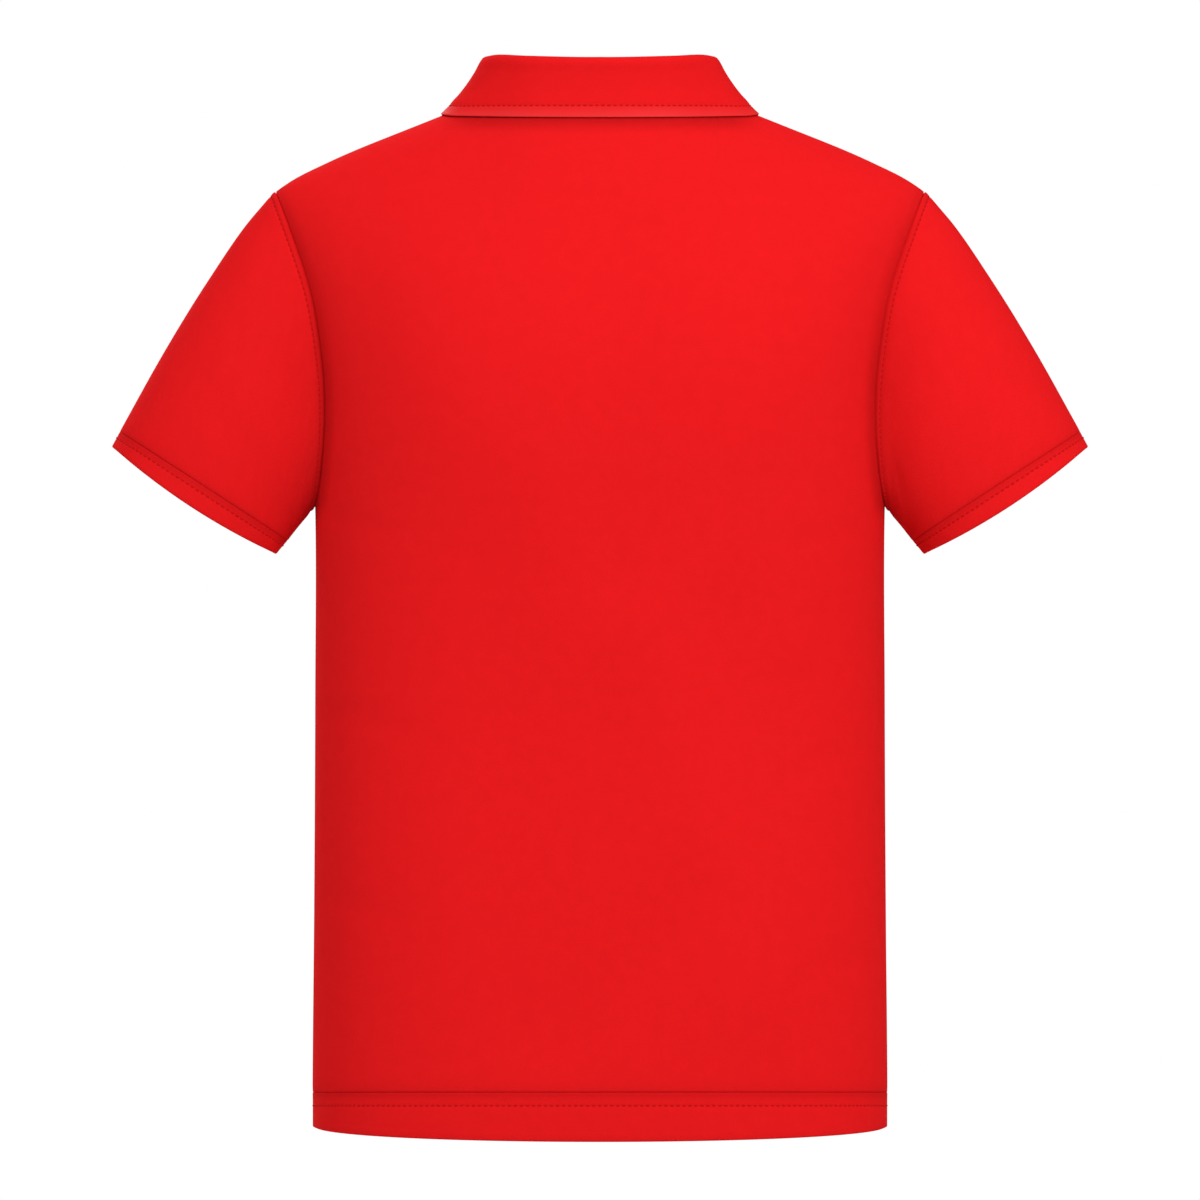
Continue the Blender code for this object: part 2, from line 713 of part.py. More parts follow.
def main():
    clear_scene()
    shirt = new_collection("polo_shirt")
    cutters = new_collection("cutters")
    red_cloth = make_material("red_cloth", CLOTH_RED, 0.85)
    red_button = make_material("red_button", BUTTON_RED, 0.35)

    back = body_panel("back")
    front = body_panel("front")
    centre = NECK_COLUMNS + SHOULDER_COLUMNS
    first_row = len(front) - 1 - PLACKET_ROWS
    opening = [(r, c) for r in range(first_row, len(front) - 1) for c in (centre - 1, centre)]
    left_sleeve = sleeve(back, front)
    left_cuff = cuff_band(left_sleeve)
    seam = neck_seam(back, front)
    under_strip, top_strip = placket_strips(front)

    joined = [
        Piece("back", back, CLOTH),
        Piece("front", front, CLOTH, cut_away=opening),
        Piece("hem_band_back", hem_band(back), BAND_CLOTH),
        Piece("hem_band_front", hem_band(front), BAND_CLOTH),
        Piece("sleeve_left", left_sleeve, CLOTH, closed=True),
        Piece("cuff_band_left", left_cuff, BAND_CLOTH, closed=True),
        Piece("sleeve_right", [mirrored(row)[::-1] for row in left_sleeve], CLOTH, closed=True),
        Piece("cuff_band_right", [mirrored(row)[::-1] for row in left_cuff], BAND_CLOTH, closed=True),
        Piece("placket_under", under_strip, CLOTH),
        Piece("collar_stand", opened_at_front(collar_stand(seam))[::-1], STAND_CLOTH),
    ]
    normals = seam_normals(joined)
    for piece in joined:
        make_wall(piece, normals, shirt, red_cloth)
    laid_on = [
        Piece("placket_top", top_strip, CLOTH),
        Piece("collar_leaf", opened_at_front(collar_leaf()), LEAF_CLOTH),
    ]
    for piece in laid_on:
        make_wall(piece, seam_normals([piece]), shirt, red_cloth)

    for index in range(BUTTON_COUNT):
        place, normal = before_front(0.0, FIRST_BUTTON_HEIGHT - index * BUTTON_SPACING, BUTTON_LIFT)
        make_button(index + 1, place, normal, shirt, cutters, red_button)


main()
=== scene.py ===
"""A red short-sleeved polo shirt, filled out as if worn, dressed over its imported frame.

The front faces -Y and the wearer's left is +X. Metres where nothing else is said, +Z up, from the middle of
the neck opening. Every cut piece is a shell of cloth on the form of its solid, with seams and creases.
"""

import math

import bmesh
import bpy
import numpy as np
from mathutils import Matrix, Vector


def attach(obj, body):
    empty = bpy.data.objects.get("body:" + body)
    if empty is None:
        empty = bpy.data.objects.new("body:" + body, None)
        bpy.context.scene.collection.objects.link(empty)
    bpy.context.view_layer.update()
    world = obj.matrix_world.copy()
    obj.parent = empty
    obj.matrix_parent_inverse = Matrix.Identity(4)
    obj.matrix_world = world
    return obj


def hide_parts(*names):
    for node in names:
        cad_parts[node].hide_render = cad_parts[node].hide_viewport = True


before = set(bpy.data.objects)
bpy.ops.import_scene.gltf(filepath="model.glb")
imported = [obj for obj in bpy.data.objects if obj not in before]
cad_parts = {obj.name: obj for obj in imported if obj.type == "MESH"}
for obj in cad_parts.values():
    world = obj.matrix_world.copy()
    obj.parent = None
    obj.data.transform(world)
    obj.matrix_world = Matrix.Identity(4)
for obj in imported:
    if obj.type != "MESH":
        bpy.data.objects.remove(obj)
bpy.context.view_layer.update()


# ---------------------------------------------------------------------------------------------------------
# Back and front: two panels of fine cotton pique, cut from shoulder to hem and sewn together at the
# shoulders and down both sides. They are full over the shoulder blades and the chest, fall almost straight
# to the hem, and every edge sinks a little where it is sewn.

BODY_SECTIONS = (  # height, half width, depth to the back, depth to the front
    (-0.735, 0.2016, 0.119, 0.126),
    (-0.6947, 0.2014, 0.1185, 0.125),
    (-0.56, 0.2002, 0.115, 0.123),
    (-0.42, 0.1995, 0.112, 0.121),
    (-0.285, 0.1995, 0.121, 0.123),
    (-0.2474, 0.2005, 0.124, 0.122),
    (-0.1992, 0.2017, 0.124, 0.118),
    (-0.1343, 0.2127, 0.117, 0.106),
    (-0.0938, 0.2257, 0.11, 0.094),
    (-0.064, 0.237, 0.105, 0.084),
    (0.0, 0.25, 0.098, 0.078),
    (0.05, 0.26, 0.098, 0.078),
)
SHOULDER_LINE = (  # distance out from the middle, height
    (-0.045, 0.0225),
    (0.0, 0.031),
    (0.045, 0.0225),
    (0.08, 0.0024),
    (0.112, -0.0113),
    (0.126, -0.0169),
    (0.1925, -0.0446),
    (0.2143, -0.0555),
    (0.2275, -0.064),
    (0.26, -0.086),
)
ARMHOLE = (  # height, distance out from the middle
    (-0.285, 0.1995),
    (-0.2795, 0.1982),
    (-0.2474, 0.1941),
    (-0.2205, 0.1928),
    (-0.1992, 0.1932),
    (-0.1706, 0.1961),
    (-0.1343, 0.2027),
    (-0.0938, 0.2161),
    (-0.064, 0.2275),
)
BROAD_FOLDS = (  # panel, two ends (to the wearer's left, up), half width, height, all in millimetres
    ("back", -36, -370, -113, -620, 42, 4.2),
    ("back", -84, -370, -161, -620, 36, -3),
    ("back", -138, -290, -140, -380, 17, 2.2),
    ("back", 75, -330, 52, -640, 40, -2.6),
    ("back", 20, -655, -70, -560, 30, -2.2),
    ("back", -10, -80, -12, -330, 34, -3),
    ("back", 100, -130, 105, -210, 48, 3.4),
    ("back", -104, -130, -118, -215, 48, 4),
    ("back", 170, -100, 164, -185, 20, -1.8),
    ("back", -184, -110, -180, -160, 24, 2.5),
    ("front", 125, -300, 60, -560, 30, 3.6),
    ("front", -120, -310, -85, -600, 32, 3.8),
    ("front", 30, -260, 20, -620, 34, -3),
    ("front", -140, -260, -60, -330, 20, -2.2),
    ("front", 142, -255, 70, -330, 20, -2.4),
    ("front", 100, -120, 110, -210, 50, 3),
    ("front", -100, -120, -110, -210, 50, 3),
)
# Finer creases in millimetres: two ends, bow to one side, half width at each end, height at each end.
BACK_CREASES = (
    (186, -268, 128, -232, 4, 4, 10, -0.9, -0.3),
    (184, -292, 110, -300, -5, 4, 11, -0.8, -0.3),
    (-186, -262, -132, -226, -4, 4, 10, -0.8, -0.3),
    (-184, -296, -118, -312, 5, 4, 10, -0.8, -0.2),
    (188, -430, 120, -452, 6, 7, 14, -0.9, -0.3),
    (-187, -455, -128, -480, -6, 7, 14, -0.8, -0.3),
    (186, -560, 128, -590, 6, 8, 14, -0.8, -0.3),
    (-186, -600, -130, -628, -5, 8, 14, -0.8, -0.3),
    (40, -655, 52, -520, 6, 8, 15, 0.8, 0.3),
    (-35, -660, -22, -560, 4, 8, 14, -0.7, -0.2),
)
FRONT_CREASES = (
    (184, -266, 100, -215, 6, 5, 12, -2.4, -0.8),
    (182, -290, 85, -292, -7, 5, 13, -2.3, -0.8),
    (180, -318, 90, -372, -8, 5, 14, -1.8, -0.6),
    (-184, -262, -105, -205, -6, 5, 12, -2.3, -0.8),
    (-182, -288, -88, -300, 6, 5, 13, -2.4, -0.8),
    (-180, -322, -95, -385, 8, 5, 14, -1.6, -0.6),
    (186, -445, 105, -480, 8, 7, 15, -2.1, -0.8),
    (-185, -470, -110, -500, -7, 7, 15, -1.9, -0.8),
    (186, -575, 120, -612, 6, 8, 15, -1.8, -0.6),
    (-186, -600, -118, -640, -6, 8, 15, -1.8, -0.6),
    (18, -240, 60, -330, 4, 5, 12, -1.8, -0.5),
    (-18, -240, -52, -345, -4, 5, 12, -1.8, -0.5),
    (22, -120, 72, -150, 3, 6, 12, -1.2, -0.5),
    (-22, -130, -76, -158, -3, 6, 12, -1.2, -0.5),
    (-50, -660, -34, -545, 6, 8, 15, 1.8, 0.6),
    (70, -665, 82, -560, -5, 8, 15, -1.6, -0.5),
)
CLOTH = 0.0016
SQUARENESS = 2.45
MIRRORED = np.array([-1.0, 1.0, 1.0])
FOLDS_TOP_HEIGHT, FOLDS_FADE = -0.0400, 0.0600
CREASE_MARGIN = 0.0140
ARMPIT_HEIGHT, HEM_SEAM_HEIGHT, SHOULDER_TURN_HEIGHT = -0.2850, -0.6947, -0.2000
NECK_HALF_WIDTH, NECK_POINT_HEIGHT = 0.0800, 0.0024
BACK_NECK_HEIGHT, FRONT_NECK_HEIGHT = -0.0040, -0.0750
FRONT_SCOOP = 0.0070
LEAF_EDGE_HEIGHT = -0.0128  # of the collar leaf's edge at the middle back
LEAF_REACH, LEAF_REACH_FADE = 0.1180, 0.0300  # how far from the middle the leaf presses on the back
# What sewing leaves beside a seam: how high the cloth stands, and over which half width or reach.
SIDE_GROOVE, HEM_GROOVE, TOP_GROOVE = (-0.0010, 0.0004), (-0.0009, 0.0004), (-0.0005, 0.0012)
SIDE_PULL, LEAF_GROOVE = (-0.0005, 0.0035), (-0.0008, 0.0050)
HEM_STEP, CUFF_STEP = (0.0013, 0.0019), (0.0011, 0.0013)
SIDE_CORNER, LEAF_GROOVE_ABOVE = 0.0120, 0.0070
# How much darker the cloth is painted, as painted shade beside the seams and painted shadow below the
# collar leaf's edge, and over which widths. The armhole's painted shade deepens downwards.
ARMHOLE_SHADE, ARMHOLE_SHADE_WIDTHS = 0.11, (0.0022, 0.0074)
HEM_SHADE, LEAF_SHADE = (0.08, 0.0045), (0.27, 0.0012, 0.0098)
DEEPER_SHADE, DEEPER_FROM, DEEPER_OVER, MOST_SHADE = 0.11, -0.1300, 0.0800, 0.35
PLACKET_HALF_WIDTH = 0.0160
PLACKET_ROWS = 40  # rows of the front beside the placket's opening, out of UPPER_PARTS
OPENING_PARTS, NECK_PARTS, SHOULDER_PARTS = 4, 28, 28
LOWER_PARTS, UPPER_PARTS = 76, 56
NEAR_SEAM = (0.0004, 0.0009, 0.0015, 0.0023, 0.0034)
NEAR_EDGE = (*NEAR_SEAM, 0.0048, 0.0064, 0.0082)
FINE = 400


def along(table, at):
    """The table's other columns at these values of its first column, on smooth curves through its rows."""
    rows = np.array(table, float)
    keys, values = rows[:, 0], rows[:, 1:]
    slopes = np.gradient(values, keys, axis=0)
    at = np.clip(np.asarray(at, float), keys[0], keys[-1])
    k = np.clip(np.searchsorted(keys, at) - 1, 0, len(keys) - 2)
    span = (keys[k + 1] - keys[k])[..., None]
    t = (at - keys[k])[..., None] / span
    return (
        (2 * t**3 - 3 * t**2 + 1) * values[k]
        + (t**3 - 2 * t**2 + t) * span * slopes[k]
        + (3 * t**2 - 2 * t**3) * values[k + 1]
        + (t**3 - t**2) * span * slopes[k + 1]
    )


def unit(vectors):
    """The vectors at length 1."""
    return vectors / np.maximum(np.linalg.norm(vectors, axis=-1, keepdims=True), 1e-12)


def lengths_along(curve):
    """The distance from the curve's start to each of its points."""
    return np.concatenate([[0.0], np.cumsum(np.linalg.norm(np.diff(curve, axis=0), axis=1))])


def points_at(curve, distances):
    """The points of a curve at these distances from its start."""
    lengths = lengths_along(curve)
    return np.stack([np.interp(distances, lengths, curve[:, c]) for c in range(3)], axis=1)


def parted(length, parts, opening=0.0, near_start=(), near_end=()):
    """Distances that cut a length into parts, the first four across an opening, with more near its ends."""
    starts = [0.0, *near_start]
    ends = [length - distance for distance in (*near_end[::-1], 0.0)]
    if opening:
        between = np.linspace(opening, ends[0], parts - OPENING_PARTS + 1)
        between = np.concatenate([np.linspace(0, opening, OPENING_PARTS + 1)[:-1], between])
    else:
        between = np.linspace(starts[-1], ends[0], parts + 1)
    return np.concatenate([starts[:-1], between, ends[1:]])


def spread(curve, *parts, **near):
    """The points of a curve where parted would cut its length."""
    return points_at(curve, parted(lengths_along(curve)[-1], *parts, **near))


def shoulder_height(x):
    """Height of the shoulder line at this distance from the middle."""
    return along(SHOULDER_LINE, np.abs(x))[..., 0]


def crease_relief(across, up, creases):
    """How far creases of a table in millimetres raise the cloth."""
    relief = np.zeros(np.broadcast(across, up).shape)
    for crease in creases:
        x0, z0, x1, z1, bow, first_width, last_width, first_height, last_height = np.array(crease) / 1000
        length = math.hypot(x1 - x0, z1 - z0)
        run_x, run_z = (x1 - x0) / length, (z1 - z0) / length
        way = (across - x0) * run_x + (up - z0) * run_z
        t = np.clip(way / length, 0, 1)
        aside = (across - x0) * run_z - (up - z0) * run_x - bow * np.sin(math.pi * t)
        width = first_width + (last_width - first_width) * t
        height = first_height + (last_height - first_height) * t
        relief += height * np.exp(-((aside / width) ** 2) - ((way - t * length) / width) ** 2)
    return relief


def rising(distance, reach):
    """A share that rises softly from 0 to 1 over this reach."""
    share = np.clip(distance / reach, 0, 1)
    return share * share * (3 - 2 * share)


def body_depth(x, z, side):
    """Distance of the cloth from the plane through the side seams, to the back or to the front."""
    x, z = np.broadcast_arrays(np.asarray(x, float), np.asarray(z, float))
    measures = along(BODY_SECTIONS, z)
    out = np.minimum(np.abs(x) / measures[..., 0], 1)
    depth = measures[..., 1 if side == "back" else 2] * (1 - out**SQUARENESS) ** (1 / SQUARENESS)
    folds = [(*ends, 0, w, w, h, h) for panel, *ends, w, h in BROAD_FOLDS if panel == side]
    depth = depth + crease_relief(x, z, folds) * (1 - out**6) * rising(FOLDS_TOP_HEIGHT - z, FOLDS_FADE)
    rise = (z - SHOULDER_TURN_HEIGHT) / (shoulder_height(x) - SHOULDER_TURN_HEIGHT)
    return depth * np.sqrt(1 - np.clip(rise, 0, 1) ** 2)


def body_points(x, z, side):
    """The points of the cloth that show at these places, seen from the back or from the front."""
    x, z = np.broadcast_arrays(np.asarray(x, float), np.asarray(z, float))
    return np.stack([x, body_depth(x, z, side) * (1 if side == "back" else -1), z], axis=-1)


def neck_height(x, side):
    """Height of the neck seam at this distance from the middle."""
    low = BACK_NECK_HEIGHT if side == "back" else FRONT_NECK_HEIGHT
    dip = np.sqrt(np.maximum(1 - (x / NECK_HALF_WIDTH) ** 2, 0))
    return low + (NECK_POINT_HEIGHT - low) * (1 - dip)


def neckline(side):
    """Half the neck seam, from the middle to the shoulder seam."""
    across = NECK_HALF_WIDTH * np.sin(np.linspace(0, math.pi / 2, FINE))
    return body_points(across, neck_height(across, side), side)


def armhole(side):
    """The armhole seam, from the armpit to the shoulder seam."""
    share = (1 - np.cos(np.linspace(0, math.pi, FINE))) / 2
    z = ARMHOLE[0][0] + (ARMHOLE[-1][0] - ARMHOLE[0][0]) * share
    scoop = FRONT_SCOOP if side == "front" else 0.0
    curve = body_points(along(ARMHOLE, z)[:, 0] - scoop * np.sin(math.pi * share) ** 2, z, side)
    return spread(curve, FINE - 1)


def body_panel(side):
    """Rows of points on a panel, from the hem seam up to the neck, each from the right side to the left."""
    opening = PLACKET_HALF_WIDTH if side == "front" else 0.0
    parts = NECK_PARTS + SHOULDER_PARTS
    rows = []
    for z in HEM_SEAM_HEIGHT + parted(ARMPIT_HEIGHT - HEM_SEAM_HEIGHT, LOWER_PARTS, near_start=NEAR_EDGE):
        half_width = along(BODY_SECTIONS, z)[0]
        ring = body_points(half_width * np.sin(np.linspace(0, math.pi / 2, FINE)), z, side)
        rows.append(spread(ring, parts, opening, near_end=NEAR_EDGE))
    start = rows[-1]
    across = np.linspace(NECK_HALF_WIDTH, ARMHOLE[-1][1], FINE)
    shoulder = body_points(across, shoulder_height(across), "back")
    shoulder = spread(shoulder, SHOULDER_PARTS, near_end=NEAR_EDGE)
    top = np.concatenate([spread(neckline(side), NECK_PARTS, opening), shoulder[1:]])
    edge = armhole(side)
    share = np.linspace(0, 1, FINE)[:, None]
    edge_bow = edge - ((1 - share) * edge[0] + share * edge[-1])
    across = lengths_along(start) / lengths_along(start)[-1]
    columns = []
    for j in range(len(start)):
        flat = (1 - share) * start[j] + share * top[j] + across[j] * edge_bow
        column = edge if j == len(start) - 1 else body_points(flat[:, 0], flat[:, 2], side)
        column[-1] = top[j]
        columns.append(spread(column, UPPER_PARTS, near_end=NEAR_SEAM))
    halves = rows + list(np.stack(columns, axis=1)[1:])
    panel = []
    for k, left in enumerate(halves):
        right = left[:0:-1] * MIRRORED
        if k < len(halves) - 1:
            right[1:] = body_points(right[1:, 0], right[1:, 2], side)
        panel.append(np.concatenate([right, left]))
    return np.array(panel)


def outward(rows, out=1, ring=False):
    """The direction that the cloth faces at each point. In a ring the last column lies on the first."""
    if ring:
        rows = np.concatenate([rows[:, -2:-1], rows, rows[:, 1:2]], axis=1)
    facing = out * unit(np.cross(np.gradient(rows, axis=1), np.gradient(rows, axis=0)))
    return facing[:, 1:-1] if ring else facing


def edge_distances(rows):
    """Each point's distance along the cloth from the first row, last row, first column and last column."""
    up = np.zeros(rows.shape[:2])
    up[1:] = np.cumsum(np.linalg.norm(np.diff(rows, axis=0), axis=2), axis=0)
    across = np.zeros(rows.shape[:2])
    across[:, 1:] = np.cumsum(np.linalg.norm(np.diff(rows, axis=1), axis=2), axis=1)
    return up, up[-1] - up, across, across[:, -1:] - across


def bump_at(distance, height, half_width):
    """A soft ridge along a line, or a soft groove if its height is negative."""
    return height * np.exp(-((distance / half_width) ** 2))


def easing(distance, height, reach):
    """A height that fades out over this reach from an edge."""
    return height * np.clip(1 - distance / reach, 0, 1) ** 2


def step_down(distance, way, step):
    """A step from the cloth above a seam, where way is -1, to the cloth below it, where way is 1."""
    height, softness = step
    return -height / (1 + np.exp(-way * distance / softness))


def sunk_beside(distance, height, reach):
    """A height that dies away from an edge, and is never quite gone."""
    return height * np.exp(-distance / reach)


def level_at(distance, reach):
    """A share that drops to a fifth at a line where the cloth turns a corner, and back to 1 beside it."""
    return 1 - bump_at(distance, 0.8, reach)


def painted_shade_beside(distance, shade, wide, fade):
    """A painted shade over this width beside a seam, gone after the fade."""
    return shade * (1 - rising(distance - wide, fade))


def add_object(name, data):
    """A new object in the scene."""
    made = bpy.data.objects.new(name, data)
    bpy.context.scene.collection.objects.link(made)
    return made


def as_mesh(made):
    """The object as a mesh, with its modifiers worked out."""
    graph = bpy.context.evaluated_depsgraph_get()
    return bpy.data.meshes.new_from_object(made.evaluated_get(graph), depsgraph=graph)


CELL_SIDES = {  # the corner where each side of a grid's cell starts, where it ends, and the cell beyond
    "first_row": ((0, 0), (0, 1), (-1, 0)),
    "last_column": ((0, 1), (1, 1), (0, 1)),
    "last_row": ((1, 1), (1, 0), (1, 0)),
    "first_column": ((1, 0), (0, 0), (0, -1)),
}


def make_cloth(
    name, rows, thickness, out=1, ring=False, folded=(), cut_away=None, from_last=False, painted_shade=None
):
    """A closed shell of cloth from rows of outer points. Its edges in folded are rounded, and a ring is
    joined where its last column lies on its first. Its UV map holds the distance from the middle column and
    the distance along the column from its first point, or from its last, in metres. Its shade attribute
    holds how much darker each outer point is painted: painted shade beside seams and painted shadow below
    the collar leaf."""
    row_count, column_count = rows.shape[:2]
    middle = column_count // 2
    facing = outward(rows, out, ring)
    inner = rows - facing * thickness
    up, down, across, _ = edge_distances(rows)
    up = down if from_last else up
    flat = np.stack([across - across[:, middle : middle + 1], up], axis=2).reshape(-1, 2)
    kept = np.ones((row_count - 1, column_count - 1), bool)
    if cut_away is not None:
        kept[cut_away] = False
    grid = np.arange(row_count * column_count).reshape(row_count, column_count)
    corners = np.stack([grid[:-1, :-1], grid[:-1, 1:], grid[1:, 1:], grid[1:, :-1]], axis=2)[kept]
    outer_faces = corners if out > 0 else corners[:, ::-1]
    faces = [outer_faces, outer_faces[:, ::-1] + grid.size]

    # The rim: for each side of a cell that has no cell beyond, faces from the outer to the inner wall.
    padded = np.zeros((row_count + 1, column_count + 1), bool)
    padded[1:-1, 1:-1] = kept
    inside = padded[:-2, 1:-1] & padded[2:, 1:-1] & padded[1:-1, :-2] & padded[1:-1, 2:]
    rim_edges, away = [], {}
    for cell in np.argwhere(kept & ~inside):
        for side, (start, end, beyond) in CELL_SIDES.items():
            if padded[tuple(cell + beyond + 1)] or (ring and side.endswith("column")):
                continue
            ends = [tuple(cell + start), tuple(cell + end)]
            rim_edges.append(ends)
            if side in folded:
                for corner in ends:
                    within = rows[tuple(np.subtract(corner, beyond))]
                    away.setdefault(corner, {})[side] = unit(rows[corner] - within)
    rim_points, rim_places, first = [], [], {}  # first is where each corner's three rim points start
    for corner in {corner for ends in rim_edges for corner in ends}:
        first[corner] = 2 * grid.size + len(rim_points)
        bulge = unit(sum(away[corner].values())) * thickness / 2 if corner in away else np.zeros(3)
        centre = (rows[corner] + inner[corner]) / 2
        for turn in (0.25, 0.5, 0.75):
            outer = math.cos(math.pi * turn) * facing[corner] * thickness / 2
            rim_points.append(centre + outer + math.sin(math.pi * turn) * bulge)
            rim_places.append(flat[grid[corner]])
    for ends in rim_edges:
        a, b = ([grid[at], first[at], first[at] + 1, first[at] + 2, grid[at] + grid.size] for at in ends)
        quads = [(b[k], a[k], a[k + 1], b[k + 1]) for k in range(4)]
        faces.append(np.array(quads if out > 0 else [quad[::-1] for quad in quads]))
    points = np.concatenate([rows.reshape(-1, 3), inner.reshape(-1, 3), rim_points])
    places = np.concatenate([flat, flat, rim_places])
    faces = np.concatenate(faces)

    data = bpy.data.meshes.new(name)
    data.from_pydata(points, [], faces.tolist())
    if painted_shade is not None:
        shades = np.zeros(len(points), np.float32)
        shades[: grid.size] = painted_shade.reshape(-1)
        data.attributes.new("painted_shade", "FLOAT", "POINT").data.foreach_set("value", shades)
    grain = data.uv_layers.new(name="grain")
    grain.data.foreach_set("uv", places[faces.reshape(-1)].astype(np.float32).reshape(-1))
    mesh = bmesh.new()
    mesh.from_mesh(data)
    if ring:
        bmesh.ops.remove_doubles(mesh, verts=mesh.verts, dist=0.000002)
    bmesh.ops.delete(mesh, geom=[v for v in mesh.verts if not v.link_faces], context="VERTS")
    mesh.to_mesh(data)
    mesh.free()
    data.shade_smooth()
    data.set_sharp_from_angle(angle=math.radians(60))
    return add_object(name, data)


class Output:
    """An output of a node in the tree that is being built. Sums and products of it add their own nodes."""

    tree = None

    def __init__(self, socket):
        self.socket = socket

    @classmethod
    def feed(cls, made, inputs):
        """Gives a node's inputs their values or links."""
        for key, value in inputs.items():
            if isinstance(value, Output):
                cls.tree.links.new(value.socket, made.inputs[key])
            else:
                made.inputs[key].default_value = value

    @classmethod
    def node(cls, kind, inputs=None, output=0, **settings):
        """One output of a new node of this kind, with these inputs and settings."""
        made = cls.tree.nodes.new(kind)
        for name, value in settings.items():
            setattr(made, name, value)
        cls.feed(made, inputs or {})
        return cls(made.outputs[output])

    def maths(self, operation, first, second=None, **settings):
        values = {0: first} if second is None else {0: first, 1: second}
        return self.node("ShaderNodeMath", values, operation=operation, **settings)

    def __add__(self, other):
        return self.maths("ADD", self, other)

    def __mul__(self, other):
        return self.maths("MULTIPLY", self, other)

    def __sub__(self, other):
        return self.maths("SUBTRACT", self, other)

    def __rsub__(self, other):
        return self.maths("SUBTRACT", other, self)

    __radd__ = __add__

    def sine(self):
        return self.maths("SINE", self)

    def at_least_0(self):
        return self.maths("MAXIMUM", self, 0.0)


node = Output.node


def new_material(name):
    """A material whose nodes are built next, and its shader."""
    material = bpy.data.materials.new(name)
    material.use_nodes = True
    Output.tree = material.node_tree
    return material, material.node_tree.nodes["Principled BSDF"]


def noise(place, scale, detail=2.0, roughness=0.5):
    """Noise with this many cells to the metre."""
    inputs = {"Vector": place, "Scale": scale, "Detail": detail, "Roughness": roughness}
    return node("ShaderNodeTexNoise", inputs)


def mixed(share, first, last):
    """A colour between two others."""
    return node("ShaderNodeMix", {0: share, 6: first, 7: last}, 2, data_type="RGBA")


def bump(height, strength, distance):
    """A surface raised by a height."""
    return node("ShaderNodeBump", {"Strength": strength, "Distance": distance, "Height": height})


CLOTH_RED, SHADED_RED = (0.710, 0.0098, 0.0114, 1.0), (0.630, 0.0082, 0.0096, 1.0)
# The colour that the painted shade beside seams and the painted shadow below the collar leaf mix towards.
PAINTED_SHADE_BLACK = (0.0, 0.0, 0.0, 1.0)
WALE, COURSE = 0.0010, 0.0009
LOW_SHEEN = {"Specular IOR Level": 0.02}
PRESSED_WIDTH = 0.0100
FRONT_COAT, BACK_COAT = 0.12, 0.38  # the ironed strip's coat at the front, and what the back adds
COAT_RISE, COAT_AT_MIDDLE = 22.0, 0.35  # how fast that grows towards the back, and its share at the sides


def pique(name, is_pressed=False):
    """Fine cotton pique: small cells in the knit, uneven yarn and a faintly mottled dye, darkened towards
    black by the shade attribute as painted shade beside seams and painted shadow below the collar leaf. If
    is_pressed, a strip from where the UV map's height is 0 is ironed smooth and has a faint shine, more at
    the back."""
    material, shader = new_material(name)
    flat = node("ShaderNodeUVMap", uv_map="grain")
    across, up = (node("ShaderNodeSeparateXYZ", {0: flat}, axis) for axis in (0, 1))
    yarn = noise(flat, 1100.0)
    dye = noise(flat, 90.0, 3.0, 0.6)
    wobble = (yarn - 0.5) * 1.2
    cells = (across * (2 * math.pi / WALE) + wobble).sine() * (up * (2 * math.pi / COURSE) + wobble).sine()
    colour = mixed(0.5 + cells * 0.22 + (yarn - 0.5) * 1.1 + (dye - 0.5) * 0.8, SHADED_RED, CLOTH_RED)
    # Painted shade beside seams and painted shadow below the collar leaf, read from the shade attribute.
    painted_shade_share = node("ShaderNodeAttribute", output=2, attribute_name="painted_shade")
    Output.feed(
        shader,
        {
            "Base Color": mixed(painted_shade_share, colour, PAINTED_SHADE_BLACK),
            "Normal": bump(cells * 0.5 + yarn * 0.9, 0.35, 0.00018),
            "Roughness": 0.84 + yarn * 0.12,
            "IOR": 1.30,
            **LOW_SHEEN,
        },
    )
    if is_pressed:
        strip = (1.0 - up * (1 / PRESSED_WIDTH)).at_least_0()
        to_back = node("ShaderNodeSeparateXYZ", {0: node("ShaderNodeTexCoord", output=3)}, 1)
        behind = to_back.maths("ADD", to_back * COAT_RISE, COAT_AT_MIDDLE, use_clamp=True)
        coat = strip * (FRONT_COAT + behind * BACK_COAT)
        Output.feed(shader, {"Coat Weight": coat, "Coat Roughness": 0.6})
    return material


red_cloth = pique("red_cloth")
pressed_cloth = pique("pressed_red_cloth", is_pressed=True)


def dress(piece, node, material=red_cloth):
    """The piece rides on the shirt, stands in for its solid, which is hidden, and takes this material."""
    piece.data.materials.append(material)
    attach(piece, "root")
    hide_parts(node)


form = {side: body_panel(side) for side in ("back", "front")}
out_of = {"back": -1, "front": 1}
facing = {side: outward(form[side], out_of[side]) for side in form}
lower_rows = LOWER_PARTS + len(NEAR_EDGE) + 1
opening_row = lower_rows - 1 + UPPER_PARTS - PLACKET_ROWS
centre = form["back"].shape[1] // 2
shared = np.zeros(form["back"].shape[:2], bool)
shared[:lower_rows, [0, -1]] = True
shared[-1, : centre - NECK_PARTS + 1] = shared[-1, centre + NECK_PARTS :] = True
mean = unit(facing["back"][shared] + facing["front"][shared])
facing["back"][shared] = facing["front"][shared] = mean

